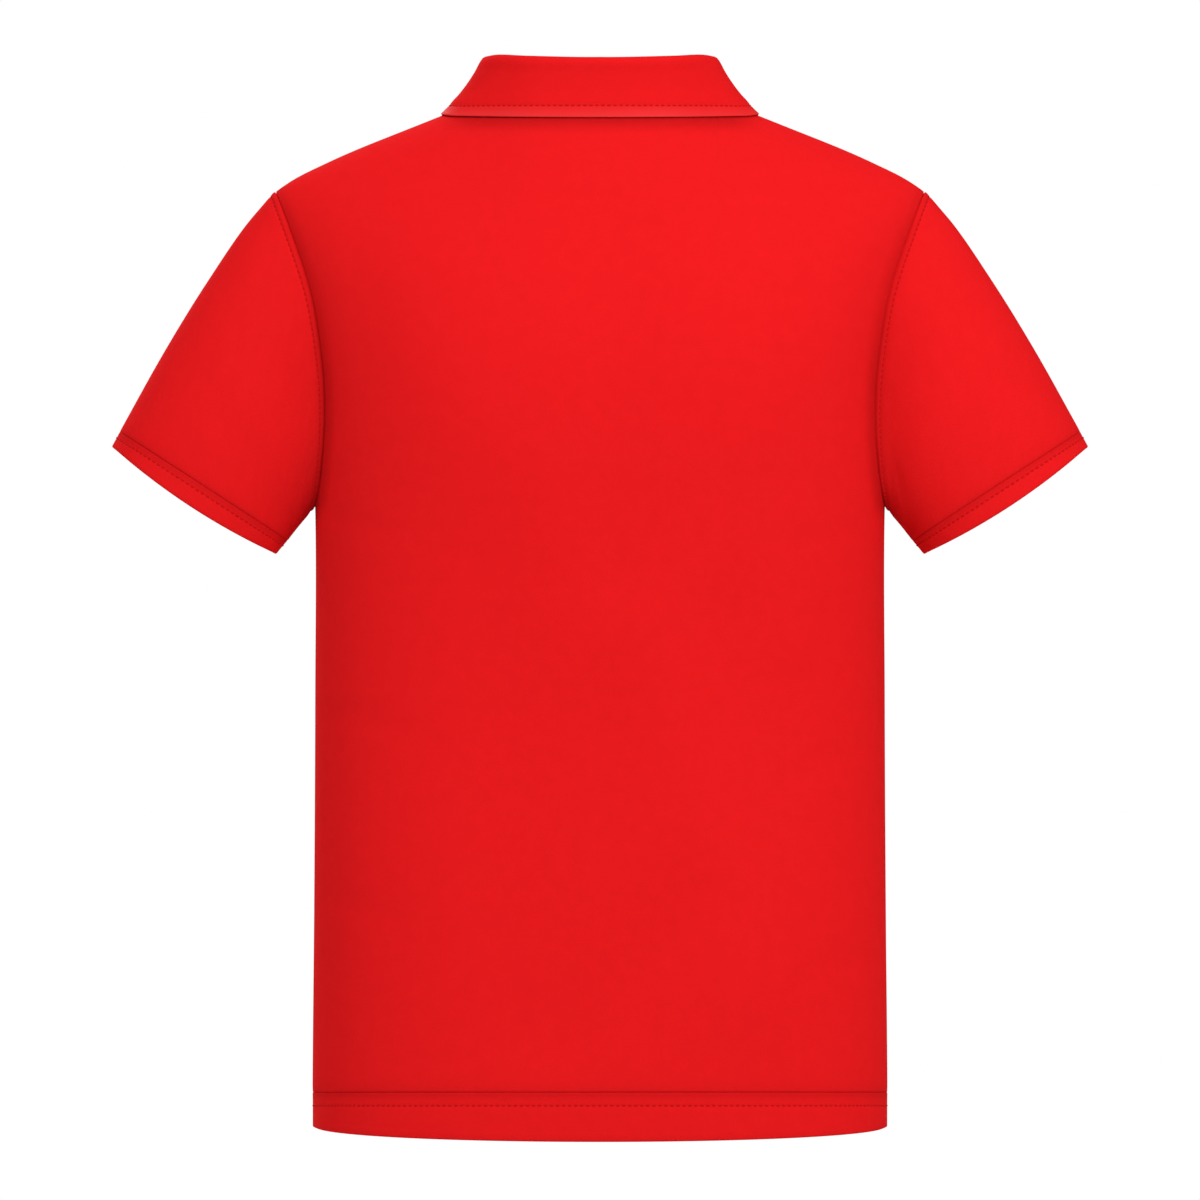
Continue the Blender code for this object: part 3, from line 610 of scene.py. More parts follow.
panels, painted_shades = {}, {}
for side, creases in (("back", BACK_CREASES), ("front", FRONT_CREASES)):
    x, z = form[side][..., 0], form[side][..., 2]
    from_hem, from_top, from_right, from_left = edge_distances(form[side])
    from_side = np.minimum(from_right, from_left)
    nearest = np.minimum(np.minimum(from_hem, from_top), from_side)
    lift = crease_relief(x, z, creases) * rising(nearest, CREASE_MARGIN)
    lift += bump_at(from_side, *SIDE_GROOVE)
    lift += sunk_beside(from_side, *SIDE_PULL)
    at_hem = step_down(from_hem, -1, HEM_STEP) + bump_at(from_hem, *HEM_GROOVE)
    lift += at_hem * level_at(from_side, SIDE_CORNER)
    lift += bump_at(from_top, *TOP_GROOVE)
    # Painted shade: the cloth is painted darker beside the armhole seam, more so lower down, and above the
    # hem seam.
    seam = armhole(side)[::4]
    from_armhole = np.hypot(np.abs(x)[..., None] - seam[:, 0], z[..., None] - seam[:, 2]).min(axis=2)
    dark = ARMHOLE_SHADE + DEEPER_SHADE * rising(DEEPER_FROM - z, DEEPER_OVER)
    shade = painted_shade_beside(from_armhole, dark, *ARMHOLE_SHADE_WIDTHS) + sunk_beside(from_hem, *HEM_SHADE)
    if side == "back":  # the collar leaf's edge presses a groove into the cloth, and a painted shadow lies below it
        under_leaf = rising(LEAF_REACH - np.abs(x), LEAF_REACH_FADE)
        below_leaf = LEAF_EDGE_HEIGHT - z
        lift += bump_at(below_leaf + LEAF_GROOVE_ABOVE, *LEAF_GROOVE) * under_leaf
        shade += painted_shade_beside(below_leaf, *LEAF_SHADE) * under_leaf
    panels[side] = form[side] + facing[side] * lift[..., None]
    painted_shades[side] = np.minimum(shade, MOST_SHADE)

back = make_cloth("back_panel", panels["back"], CLOTH, out=-1, painted_shade=painted_shades["back"])
opening = (slice(opening_row, None), slice(centre - OPENING_PARTS, centre + OPENING_PARTS))
front = make_cloth("front_panel", panels["front"], CLOTH, cut_away=opening, painted_shade=painted_shades["front"])
dress(back, "back")
dress(front, "front")


# ---------------------------------------------------------------------------------------------------------
# Sleeves: one piece of the same pique each, set into the armhole and closed by a seam under the arm. The
# seam allowance lies on the sleeve's side, so a narrow strip stands up there, held by a row of topstitching.

SLEEVE_SECTIONS = (  # share of the way, top fold (out, up), underarm (out, up), half the depth
    (0.0, 0.2275, -0.064, 0.1995, -0.285, 0.05),
    (0.18, 0.2488, -0.0889, 0.2036, -0.2893, 0.057),
    (0.38, 0.273, -0.1244, 0.2071, -0.2939, 0.059),
    (0.7, 0.3052, -0.1766, 0.213, -0.3012, 0.056),
    (1.0, 0.3362, -0.2322, 0.2186, -0.3086, 0.053),
)
# Creases as on the body, but placed round from the top fold, towards the back, and down from the armhole.
SLEEVE_CREASES = (
    (205, 8, 120, 34, 5, 7, 15, -0.6, -0.2),
    (190, 22, 95, 88, 8, 7, 16, -0.7, -0.3),
    (60, 20, 30, 110, 6, 10, 18, -0.9, -0.3),
    (85, 110, 50, 165, -4, 9, 14, 1, 0.4),
    (-205, 6, -115, 32, -6, 4, 12, -1.6, -0.5),
    (-190, 18, -90, 95, -9, 5, 13, -1.6, -0.5),
    (-60, 25, -40, 120, -6, 10, 18, -1.3, -0.4),
    (-100, 100, -55, 160, 5, 9, 14, 1.2, 0.4),
)
SLEEVE_PARTS, SLEEVE_CREASE_MARGIN = 38, 0.0100
STRIP_WIDTH, STRIP_HEIGHT, STRIP_SOFTNESS = 0.0042, 0.0005, 0.0003
SLEEVE_PULL, RIDGE_AT, BESIDE_STRIP_RIDGE = (-0.0006, 0.0021), 0.0085, (0.0003, 0.0030)
STITCH_GROOVE, CUFF_GROOVE, UNDERARM_GROOVE = (-0.0004, 0.0007), (-0.0008, 0.0004), (-0.0003, 0.0013)
# Painted shade beside the armhole strip and above the cuff seam, and a broad painted shade near the armpit.
STRIP_SHADE, CUFF_SHADE, ARMPIT_SHADE = (0.08, 0.0036, 0.0016), (0.10, 0.0034), (0.09, 0.0400)
ARMPIT_SHADE_FROM, ARMPIT_SHADE_OVER, TUBE_CORNER = -0.1000, 0.1000, 0.0100
BESIDE_STRIP = (
    0.0004, 0.0008, 0.0013, 0.0019, 0.0027, 0.0034, 0.0038, 0.0042, 0.0046, 0.0050, 0.0057, 0.0068
)
AT_CUFF = (0.0004, 0.0009, 0.0015, 0.0023, 0.0033)


def sleeve_chord(section):
    """The middles of sleeve sections, the way to their top folds, and their direction to the cuff."""
    top = np.stack([section[..., 0], 0 * section[..., 0], section[..., 1]], axis=-1)
    under = np.stack([section[..., 2], 0 * section[..., 2], section[..., 3]], axis=-1)
    half_chord = (top - under) / 2
    out = np.stack([half_chord[..., 2], 0 * half_chord[..., 2], -half_chord[..., 0]], axis=-1)
    return (top + under) / 2, half_chord, unit(out)


def sleeve_rings(sections, turns, measures, shares, dips):
    """Closed sections of the sleeve, from the underarm up the back to the top fold and down the front."""
    centres, half_chords, outs = (values[:, None, :] for values in sleeve_chord(sections))
    from_armhole = ((1 - shares) ** 2)[:, None]
    up = from_armhole * measures[:, 0] + (1 - from_armhole) * np.cos(turns)
    to_back = from_armhole * measures[:, 2] - (1 - from_armhole) * sections[:, 4:5] * np.sin(turns)
    outwards = from_armhole * measures[:, 1] + dips[:, None] * np.sin(turns) ** 2
    outwards = outwards[..., None] * outs
    return centres + up[..., None] * half_chords + outwards + to_back[..., None] * [0, 1, 0]


def armhole_loop(panel, to_left):
    """A body panel pair's armhole points, from the armpit up the back to the shoulder and down the front."""
    column = -1 if to_left else 0
    up_the_back = panel["back"][lower_rows - 1 :, column]
    down_the_front = panel["front"][lower_rows - 1 :, column][::-1]
    loop = np.concatenate([up_the_back, down_the_front[1:]])
    return loop if to_left else loop * MIRRORED


def sleeve_turns(loop):
    """How far round each armhole point is, from half a turn at the armpit to a whole one at the top."""
    tip = len(loop) // 2
    back_way, front_way = lengths_along(loop[: tip + 1]), lengths_along(loop[tip:])
    down_the_front = 2 * math.pi + math.pi * front_way[1:] / front_way[-1]
    return np.concatenate([math.pi + math.pi * back_way / back_way[-1], down_the_front])


def sleeve_form(loop, turns):
    """The sleeve's surface in closed sections, from the armhole to the cuff seam."""
    middle, half_chord, out = (values[0] for values in sleeve_chord(np.array([SLEEVE_SECTIONS[0][1:]])))
    long_way = half_chord / (half_chord @ half_chord)
    measures = np.stack([(loop - middle) @ long_way, (loop - middle) @ out, loop[:, 1]], axis=1)
    shares = np.linspace(0, 1, 120)
    return sleeve_rings(along(SLEEVE_SECTIONS, shares), turns, measures, shares, 0 * shares)


def sewing_thread(name, red, shaded_red):
    """Twisted polyester thread, a darker red than the cloth."""
    material, shader = new_material(name)
    fibre = noise(node("ShaderNodeTexCoord", output=3), 2600.0)
    looks = {"Base Color": mixed(fibre, shaded_red, red), "Normal": bump(fibre, 0.4, 0.0001)}
    Output.feed(shader, {**looks, "Roughness": 0.7, **LOW_SHEEN})
    return material


red_thread = sewing_thread("red_thread", (0.520, 0.0060, 0.0068, 1.0), (0.440, 0.0048, 0.0055, 1.0))

STITCH_SIZES = {  # in metres, but the turn in radians and the unevenness as a share
    "Pitch": 0.0042,
    "Stitch length": 0.0031,
    "Thread width": 0.0014,
    "Thread height": 0.0009,
    "Turn": 0.0,
    "Unevenness": 0.04,
}
THREAD_LIFT = 0.00005


def stitch_tree():
    """Nodes that lay stitches of given sizes along a line whose points hold where the cloth faces."""
    tree = Output.tree = bpy.data.node_groups.new("stitches", "GeometryNodeTree")
    add_socket = tree.interface.new_socket
    add_socket("Seam line", in_out="INPUT", socket_type="NodeSocketGeometry")
    for name, value in STITCH_SIZES.items():
        add_socket(name, in_out="INPUT", socket_type="NodeSocketFloat").default_value = value
    add_socket("Thread", in_out="INPUT", socket_type="NodeSocketMaterial")
    add_socket("Stitches", in_out="OUTPUT", socket_type="NodeSocketGeometry")
    given = {socket.name: Output(socket) for socket in tree.nodes.new("NodeGroupInput").outputs}

    line = node("GeometryNodeMeshToCurve", {"Mesh": given["Seam line"]})
    spaced = node("GeometryNodeResampleCurve", {"Curve": line, "Length": given["Pitch"]}, mode="LENGTH")
    facing = node("GeometryNodeInputNamedAttribute", {"Name": "facing"}, data_type="FLOAT_VECTOR")
    tangent = node("GeometryNodeInputTangent")
    way = node("FunctionNodeAlignRotationToVector", {"Vector": tangent}, axis="X")
    inputs = {"Rotation": way, "Vector": facing}
    way = node("FunctionNodeAlignRotationToVector", inputs, axis="Z", pivot_axis="X")
    turn = node("ShaderNodeCombineXYZ", {"Z": given["Turn"]})
    way = node("FunctionNodeRotateRotation", {"Rotation": way, "Rotate By": turn}, rotation_space="LOCAL")
    sizes = {"X": given["Stitch length"], "Y": given["Thread width"], "Z": given["Thread height"]}
    least = 1.0 - given["Unevenness"]
    vary = node("FunctionNodeRandomValue", {2: least, 3: 1.0, "Seed": 7}, 1, data_type="FLOAT")
    size = node(
        "ShaderNodeVectorMath", {0: node("ShaderNodeCombineXYZ", sizes), "Scale": vary}, operation="SCALE"
    )
    thread = node("GeometryNodeMeshUVSphere", {"Segments": 8, "Rings": 5, "Radius": 0.5})
    laid = node(
        "GeometryNodeInstanceOnPoints", {"Points": spaced, "Instance": thread, "Rotation": way, "Scale": size}
    )
    real = node("GeometryNodeSetShadeSmooth", {0: node("GeometryNodeRealizeInstances", {"Geometry": laid})})
    finish = node("GeometryNodeSetMaterial", {0: real, "Material": given["Thread"]})
    tree.links.new(finish.socket, tree.nodes.new("NodeGroupOutput").inputs[0])
    return tree


stitches_on_line = stitch_tree()


def sew(name, lines, **sizes):
    """Stitches along lines of points and the directions that the cloth faces there, as one piece."""
    points = np.concatenate([line for line, _ in lines])
    facings = np.concatenate([directions for _, directions in lines])
    edges, start = [], 0
    for line, _ in lines:
        edges += [(start + k, start + k + 1) for k in range(len(line) - 1)]
        start += len(line)
    data = bpy.data.meshes.new(name)
    data.from_pydata(points, edges, [])
    attribute = data.attributes.new("facing", "FLOAT_VECTOR", "POINT")
    attribute.data.foreach_set("vector", facings.astype(np.float32).reshape(-1))
    made = add_object(name, data)
    modifier = made.modifiers.new("stitches", "NODES")
    modifier.node_group = stitches_on_line
    chosen = {key.replace("_", " ").capitalize(): value for key, value in sizes.items()}
    chosen["Thread"] = red_thread
    for item in stitches_on_line.interface.items_tree:
        if item.in_out == "INPUT" and item.name in chosen:
            modifier[item.identifier] = chosen[item.name]
    made.data = as_mesh(made)
    made.modifiers.clear()
    bpy.data.meshes.remove(data)
    made.data.name = name
    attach(made, "root")
    return made


def line_on(rows, row, out, ring=False, columns=slice(None)):
    """A row of a grid as a line for stitches, just off the cloth, with the directions it faces."""
    facing = outward(rows, out, ring)[row, columns]
    return rows[row, columns] + facing * THREAD_LIFT, facing


def across_tube(rows):
    """How far a tube's points are from its underarm seam and from its top fold, and how level it is there."""
    _, _, from_under, from_over = edge_distances(rows)
    from_seam = np.minimum(from_under, from_over)
    tip = rows.shape[1] // 2
    round_from_top = from_under - from_under[:, tip : tip + 1]
    level = level_at(from_seam, TUBE_CORNER) - bump_at(round_from_top, 0.8, TUBE_CORNER)
    return from_seam, round_from_top, level


cuff_edges = {}
for side in ("left", "right"):
    to_left = side == "left"
    mirror, out = (np.ones(3), 1) if to_left else (MIRRORED, -1)
    loop = armhole_loop(form, to_left)
    turns = sleeve_turns(loop)
    surface = sleeve_form(loop, turns)
    near = {"near_start": BESIDE_STRIP, "near_end": AT_CUFF}
    rows = np.stack([spread(surface[:, j], SLEEVE_PARTS, **near) for j in range(len(loop))], axis=1)
    rows[:, -1] = rows[:, 0]
    toward = outward(rows, ring=True)
    from_armhole, from_cuff, _, _ = edge_distances(rows)
    from_seam, round_from_top, level = across_tube(rows)
    nearest = np.minimum(from_armhole - STRIP_WIDTH, from_cuff)
    lift = crease_relief(-round_from_top, from_armhole, SLEEVE_CREASES)
    lift *= np.clip(nearest / SLEEVE_CREASE_MARGIN, 0, 1)
    lift += bump_at(from_armhole, *SIDE_GROOVE)
    lift += sunk_beside(from_armhole, *SLEEVE_PULL)
    lift += STRIP_HEIGHT / (1 + np.exp((from_armhole - STRIP_WIDTH) / STRIP_SOFTNESS))
    lift += bump_at(from_armhole - STRIP_WIDTH, *STITCH_GROOVE)
    lift += bump_at(from_armhole - RIDGE_AT, *BESIDE_STRIP_RIDGE)
    lift += (step_down(from_cuff, -1, CUFF_STEP) + bump_at(from_cuff, *CUFF_GROOVE)) * level
    lift += bump_at(from_seam, *UNDERARM_GROOVE)
    finished = rows + toward * lift[..., None]
    finished[0] = armhole_loop(panels, to_left)
    finished[:, -1] = finished[:, 0]
    cuff_edges[side] = (finished[-1], turns)
    # Painted shade on the strip beside the armhole and above the cuff seam, and a broad painted shade near
    # the armpit, lower down.
    shade = painted_shade_beside(from_armhole, *STRIP_SHADE) + sunk_beside(from_cuff, *CUFF_SHADE)
    low_down = rising(ARMPIT_SHADE_FROM - rows[..., 2], ARMPIT_SHADE_OVER)
    shade += bump_at(from_armhole, *ARMPIT_SHADE) * low_down
    sleeve = make_cloth(f"sleeve_{side}_piece", finished * mirror, CLOTH, out, True, painted_shade=shade)
    dress(sleeve, f"sleeve_{side}")
    strip_row = 1 + BESIDE_STRIP.index(STRIP_WIDTH)
    line, directions = line_on(finished, strip_row, 1, ring=True, columns=slice(3, -3))
    stitching = sew(f"armhole_stitches_{side}", [(line * mirror, directions * mirror)])


# ---------------------------------------------------------------------------------------------------------
# Hem and cuffs: the cloth turned up inside and stitched down all round, so each shows as a band with a fine
# seam line at its top, a row of topstitching below that and a rounded fold at its edge.

HEM_SIDE_HEIGHT, HEM_DIP = -0.7189, 0.0105
HEM_STITCH = 0.0092
CUFF_SECTIONS = (  # share of the band, then as for the sleeve
    (0.0, 0.3362, -0.2322, 0.2186, -0.3086, 0.053),
    (1.0, 0.3421, -0.2428, 0.2266, -0.3184, 0.052),
)
CUFF_DIP = 0.0048
CUFF_STITCH = 0.0047
BAND_CLOTH = 0.0022
HEM_PARTS, CUFF_PARTS = 5, 4
BAND_STITCH_GROOVE, BAND_SIDE_GROOVE = (-0.0002, 0.0008), (-0.0005, 0.0013)
BAND_UNDERARM_GROOVE = (-0.0002, 0.0013)
# Painted shade on the bands just below their seams: how dark, and its half width.
HEM_BAND_SHADE, CUFF_BAND_SHADE = (0.14, 0.0040), (0.15, 0.0036)
BELOW_HEM_SEAM = (
    0.0004, 0.0009, 0.0016, 0.0026, 0.0040, 0.0055, 0.0072, 0.0083, 0.0088, 0.0092, 0.0096, 0.0101
)
BELOW_CUFF_SEAM = (0.0004, 0.0009, 0.0016, 0.0025, 0.0036, 0.0043, 0.0047, 0.0051, 0.0057, 0.0066)


def band_rows(first, last, near, parts):
    """Rows of a band, from its seam to its edge, which stops short by the roundness of the fold."""
    columns = []
    for a, b in zip(first, last):
        length = np.linalg.norm(b - a)
        cuts = np.linspace(near[-1], length - BAND_CLOTH / 2, parts + 1)
        cuts = np.concatenate([[0.0], near, cuts[1:]])
        columns.append(a + (b - a) * (cuts / length)[:, None])
    return np.stack(columns, axis=1)


for side in ("back", "front"):
    seam = form[side][0]
    half_width = along(BODY_SECTIONS, HEM_SEAM_HEIGHT)[0]
    edge = seam.copy()
    edge[:, 2] = HEM_SIDE_HEIGHT - HEM_DIP * np.sqrt(np.maximum(1 - (seam[:, 0] / half_width) ** 2, 0))
    rows = band_rows(seam, edge, BELOW_HEM_SEAM, HEM_PARTS)
    out = -out_of[side]
    toward = outward(rows, out)
    toward[:, [0, -1]] = facing[side][0, [0, -1]]
    from_seam, _, from_right, from_left = edge_distances(rows)
    from_side = np.minimum(from_right, from_left)
    lift = step_down(from_seam, 1, HEM_STEP) + bump_at(from_seam - HEM_STITCH, *BAND_STITCH_GROOVE)
    lift += bump_at(from_seam, *HEM_GROOVE)
    lift = lift * level_at(from_side, SIDE_CORNER) + bump_at(from_side, *BAND_SIDE_GROOVE)
    finished = rows + toward * lift[..., None]
    finished[0] = panels[side][0]
    # Painted shade just below the hem seam.
    shade = bump_at(from_seam, *HEM_BAND_SHADE)
    band = make_cloth(f"hem_{side}", finished, BAND_CLOTH, out, folded=("last_row",), painted_shade=shade)
    dress(band, f"hem_band_{side}")
    stitch_row = 1 + BELOW_HEM_SEAM.index(HEM_STITCH)
    line = line_on(finished, stitch_row, out, columns=slice(1, -1))
    stitching = sew(f"hem_stitches_{side}", [line])

for side in ("left", "right"):
    mirror, out = (np.ones(3), 1) if side == "left" else (MIRRORED, -1)
    seam_points, turns = cuff_edges[side]
    sections = np.array([section[1:] for section in CUFF_SECTIONS])
    ends = sleeve_rings(sections, turns, np.zeros((len(turns), 3)), np.ones(2), np.array([0.0, CUFF_DIP]))
    rows = band_rows(ends[0], ends[1], BELOW_CUFF_SEAM, CUFF_PARTS)
    rows[:, -1] = rows[:, 0]
    toward = outward(rows, ring=True)
    below_seam = edge_distances(rows)[0]
    from_underarm, _, level = across_tube(rows)
    lift = step_down(below_seam, 1, CUFF_STEP) + bump_at(below_seam - CUFF_STITCH, *BAND_STITCH_GROOVE)
    lift = (lift + bump_at(below_seam, *CUFF_GROOVE)) * level + bump_at(from_underarm, *BAND_UNDERARM_GROOVE)
    finished = rows + toward * lift[..., None]
    finished[0] = seam_points
    finished[:, -1] = finished[:, 0]
    # Painted shade just below the cuff seam.
    shade = bump_at(below_seam, *CUFF_BAND_SHADE)
    band = make_cloth(
        f"cuff_{side}", finished * mirror, BAND_CLOTH, out, True, ("last_row",), painted_shade=shade
    )
    dress(band, f"cuff_band_{side}")
    stitch_row = 1 + BELOW_CUFF_SEAM.index(CUFF_STITCH)
    line, directions = line_on(finished, stitch_row, 1, ring=True)
    stitching = sew(f"cuff_stitches_{side}", [(line * mirror, directions * mirror)])


# ---------------------------------------------------------------------------------------------------------
# Collar: an upright stand sewn to the neck, and a leaf of two layers of cloth that rolls over it and lies
# on the shoulders. Topstitching runs round it and up both fronts, 8 mm from its edges, and the strip below
# that flares a little at the back.

STAND_SECTIONS = (  # share of the way round from the middle back, rise, lean towards the neck
    (0.0, 0.0292, 0.001),
    (0.2, 0.0286, 0.0015),
    (0.3, 0.0274, 0.002),
    (0.38, 0.0236, 0.002),
    (0.46, 0.0212, 0.002),
    (0.7, 0.0222, 0.0015),
    (1.0, 0.0245, 0.001),
)
LEAF_ROLL = (  # distance out from the stand's outer face, height above its top
    (-0.002, 0.0),
    (-0.0019, 0.0012),
    (-0.0018, 0.0026),
    (-0.0006, 0.0041),
    (0.0014, 0.005),
    (0.0035, 0.0046),
    (0.0051, 0.0028),
)
LEAF_EDGE = (  # share of the way round, distance out, distance to the back
    (0.0, 0.0, 0.0583),
    (0.12, 0.038, 0.0549),
    (0.235, 0.075, 0.0396),
    (0.34, 0.1, 0.0226),
    (0.42, 0.1104, 0.007),
    (0.48, 0.1105, -0.008),
    (0.58, 0.1075, -0.031),
    (0.69, 0.096, -0.056),
    (0.8, 0.079, -0.075),
    (0.91, 0.058, -0.088),
    (1.0, 0.042, -0.095),
)
LEAF_FALL = (0.22, 0.46, 0.70, 0.86, 1.00)
LEAF_LIFT, EDGE_LIFT, LEAF_SAG = 0.0018, 0.0013, 0.0019
LEAF_STITCH, LEAF_CORNER, ROLL_ROWS = 0.0080, 0.0010, 8
LEAF_RIDGE_AT, LEAF_RIDGE, STAND_GROOVE = 0.0125, (0.0003, 0.0035), (-0.0004, 0.0012)
FLARE, BACK_FLARE, BACK_FLARE_REACH = 0.0001, 0.0003, 0.0800
STAND_CLOTH, LEAF_CLOTH = 0.0020, 0.0011
COLLAR_HALF_GAP = 0.0006
SLOPE_STEP = 0.002
STAND_PARTS, LEAF_PARTS, LEAF_COLUMNS = 12, 25, 60
EDGE_RISE, EDGE_RISE_AT = 0.0007, 0.1100  # how far the leaf's edge rises from its middle to this far out
LEVEL_SHARE, LEVEL_FADE = 0.33, 0.08  # the edge is level over this share of its way, seen from behind
SAG_END = 1.05
FOLD_ROUNDNESS = 0.0006
NEAR_LEAF_EDGE = (0.0006, 0.0014, 0.0026, 0.0040, 0.0055, 0.0069, 0.0076, 0.0080, 0.0084, 0.0091, 0.0102)


def body_height(x, y):
    """Height of the cloth over these points of the plan, on the shoulders and the upper body."""
    low, high = np.full(x.shape, SHOULDER_TURN_HEIGHT), shoulder_height(x)
    for _ in range(40):
        middle = (low + high) / 2
        depth = np.where(y >= 0, body_depth(x, middle, "back"), body_depth(x, middle, "front"))
        below = depth > np.abs(y)
        low, high = np.where(below, middle, low), np.where(below, high, middle)
    return low


def over_body(x, y, lift):
    """The points this far off the cloth, over these points of the plan."""
    rise_x = body_height(x + SLOPE_STEP, y) - body_height(x - SLOPE_STEP, y)
    rise_y = body_height(x, y + SLOPE_STEP) - body_height(x, y - SLOPE_STEP)
    up = unit(np.stack([-rise_x, -rise_y, np.full(x.shape, 2 * SLOPE_STEP)], axis=-1))
    return np.stack([x, y, body_height(x, y)], axis=-1) + lift * up


def collar_frame(seam):
    """For neck seam points on the left: their share of the way round and their level outward directions."""
    shares = lengths_along(seam) / lengths_along(seam)[-1]
    flipped = seam * MIRRORED
    whole = np.concatenate([flipped[1:3][::-1], seam, flipped[-3:-1][::-1]])
    tangents = (whole[3:-1] - whole[1:-3]) * np.array([1.0, 1.0, 0.0])
    return shares, unit(np.stack([-tangents[:, 1], tangents[:, 0], 0 * tangents[:, 0]], axis=1))


def stand_rows(seam):
    """Rows of points on half the stand, from the neck seam up to the fold."""
    shares, outward_way = collar_frame(seam)
    rise, lean = along(STAND_SECTIONS, shares).T
    way = rise[:, None] * np.array([0.0, 0.0, 1.0]) - lean[:, None] * outward_way
    return [seam + way * step / STAND_PARTS for step in range(STAND_PARTS + 1)]


def opened_at_front(rows):
    """The left half's rows joined to their mirror image round the back, and parted at the middle front."""
    rows = np.array(rows)
    rows[:, -1, 0] = np.maximum(rows[:, -1, 0], COLLAR_HALF_GAP)
    return np.concatenate([(rows * MIRRORED)[:, :0:-1], rows], axis=1)


neck = slice(centre, centre + NECK_PARTS + 1)
seam = np.concatenate([form["back"][-1, neck], form["front"][-1, neck][::-1][1:]])
sewn = np.concatenate([panels["back"][-1, neck], panels["front"][-1, neck][::-1][1:]])
rows = opened_at_front(stand_rows(seam))
lift = bump_at(edge_distances(rows)[0], *STAND_GROOVE)
rows = rows + outward(rows, -1) * lift[..., None]
rows[0] = opened_at_front([sewn])[0]
stand = make_cloth("collar_stand_piece", rows, STAND_CLOTH, out=-1, folded=("first_column", "last_column"))
dress(stand, "collar_stand")

at_back, at_front = (spread(neckline(side), LEAF_COLUMNS) for side in ("back", "front"))
seam = np.concatenate([at_back, at_front[::-1][1:]])
shares, outward_way = collar_frame(seam)
fold = stand_rows(seam)[-1]
rows = [fold + r * outward_way + np.array([0.0, 0.0, h]) for r, h in LEAF_ROLL]
hang = np.array(rows[-1])
edge_x, edge_y = along(LEAF_EDGE, shares).T
level_y = body_depth(edge_x, LEAF_EDGE_HEIGHT + EDGE_RISE * (edge_x / EDGE_RISE_AT) ** 2, "back")
edge_y = level_y + (edge_y - level_y) * rising(shares - LEVEL_SHARE, LEVEL_FADE)
edge = over_body(edge_x, edge_y, EDGE_LIFT)
for fall in LEAF_FALL:
    sag = LEAF_SAG * math.sin(math.pi * fall / SAG_END) * outward_way
    row = hang + (edge - hang) * fall - sag
    if fall < 1:
        row[:, 2] = np.maximum(row[:, 2], body_height(row[:, 0], row[:, 1]) + LEAF_LIFT)
    rows.append(edge if fall == 1 else row)
knots = np.array(rows)
columns = []
for j in range(knots.shape[1]):
    lengths = lengths_along(knots[:, j])
    length = lengths[-1] - FOLD_ROUNDNESS
    cuts = np.linspace(0, length - NEAR_LEAF_EDGE[-1], LEAF_PARTS)
    cuts = np.concatenate([cuts, length - np.array(NEAR_LEAF_EDGE)[-2::-1], [length]])
    columns.append(along(np.column_stack([lengths, knots[:, j]]), cuts))
rows = opened_at_front(np.stack(columns, axis=1))
_, from_edge, from_right, from_left = edge_distances(rows)
flare = BACK_FLARE * np.exp(-((rows[..., 0] / BACK_FLARE_REACH) ** 4)) + FLARE
lift = easing(from_edge, flare, LEAF_STITCH)
lift += bump_at(from_edge - LEAF_STITCH, *STITCH_GROOVE)
lift += bump_at(from_edge - LEAF_RIDGE_AT, *LEAF_RIDGE)
rows = rows + outward(rows) * lift[..., None]
leaf = make_cloth(
    "collar_leaf_piece", rows, LEAF_CLOTH, folded=("last_row", "first_column", "last_column"), from_last=True
)
dress(leaf, "collar_leaf", pressed_cloth)
stitch_row = len(rows) - 2 - NEAR_LEAF_EDGE.index(LEAF_STITCH)
line, directions = line_on(rows, stitch_row, 1)
inside = np.minimum(from_right, from_left)[stitch_row] > LEAF_STITCH + LEAF_CORNER
line, directions = line[inside], directions[inside]
toward = outward(rows)
for end in (1, -1):  # the line goes on up one front and then up the other
    up_front = []
    for k in range(stitch_row, ROLL_ROWS - 1, -1):
        row, ways = rows[k, ::end], toward[k, ::end]
        place = points_at(row, [LEAF_STITCH])[0]
        way = ways[np.argmin(np.linalg.norm(row - place, axis=1))]
        up_front.append((place + way * THREAD_LIFT, way))
    places, ways = map(np.array, zip(*up_front))
    line = np.concatenate([line[::-end], places])[::-end]
    directions = np.concatenate([directions[::-end], ways])[::-end]
stitching = sew("collar_stitches", [(line, directions)])


# ---------------------------------------------------------------------------------------------------------
# Placket: two strips in the front's opening. The under strip carries the buttons, and the top strip lies
# over it with an upright buttonhole at each, edge-stitched down both sides and boxed at its lower end.

PLACKET_OVERLAP, PLACKET_END = 0.0010, 0.0060
PLACKET_LIFT = CLOTH + 0.00045
PLACKET_STITCH, PLACKET_BOX, STITCH_START = 0.0022, 0.0300, 0.0010
PLACKET_COLUMNS, PLACKET_PARTS, TOP_CLEARANCE = 8, 60, 0.0003
SIDE_POINTS, FOOT_POINTS = 60, 14
OUTLINE_SINK, BAR_SINK, HOLE_SINK = -0.0003, -0.0002, -0.0001
STRIP_EASING, STRIP_GROOVE, BOX_GROOVE = (-0.0006, 0.0020), (-0.0004, 0.0006), (-0.0003, 0.0006)
SLOT_DEPTH, SLOT_HALF_WIDTH, SLOT_HALF_LENGTH = 0.0003, 0.0016, 0.0075
NEAR_FOOT_SCALE, NEAR_FOOT_END = 0.15, 0.0227  # the strip's height for shares near its foot, and their end
BUTTON_HEIGHTS = (-0.0930, -0.1410, -0.1890)
BUTTONHOLE_LENGTH, BUTTONHOLE_HALF_WIDTH = 0.0150, 0.0011
NEAR_STRIP_EDGE = (0.0005, 0.0011, 0.0017, 0.0022, 0.0027, 0.0034)

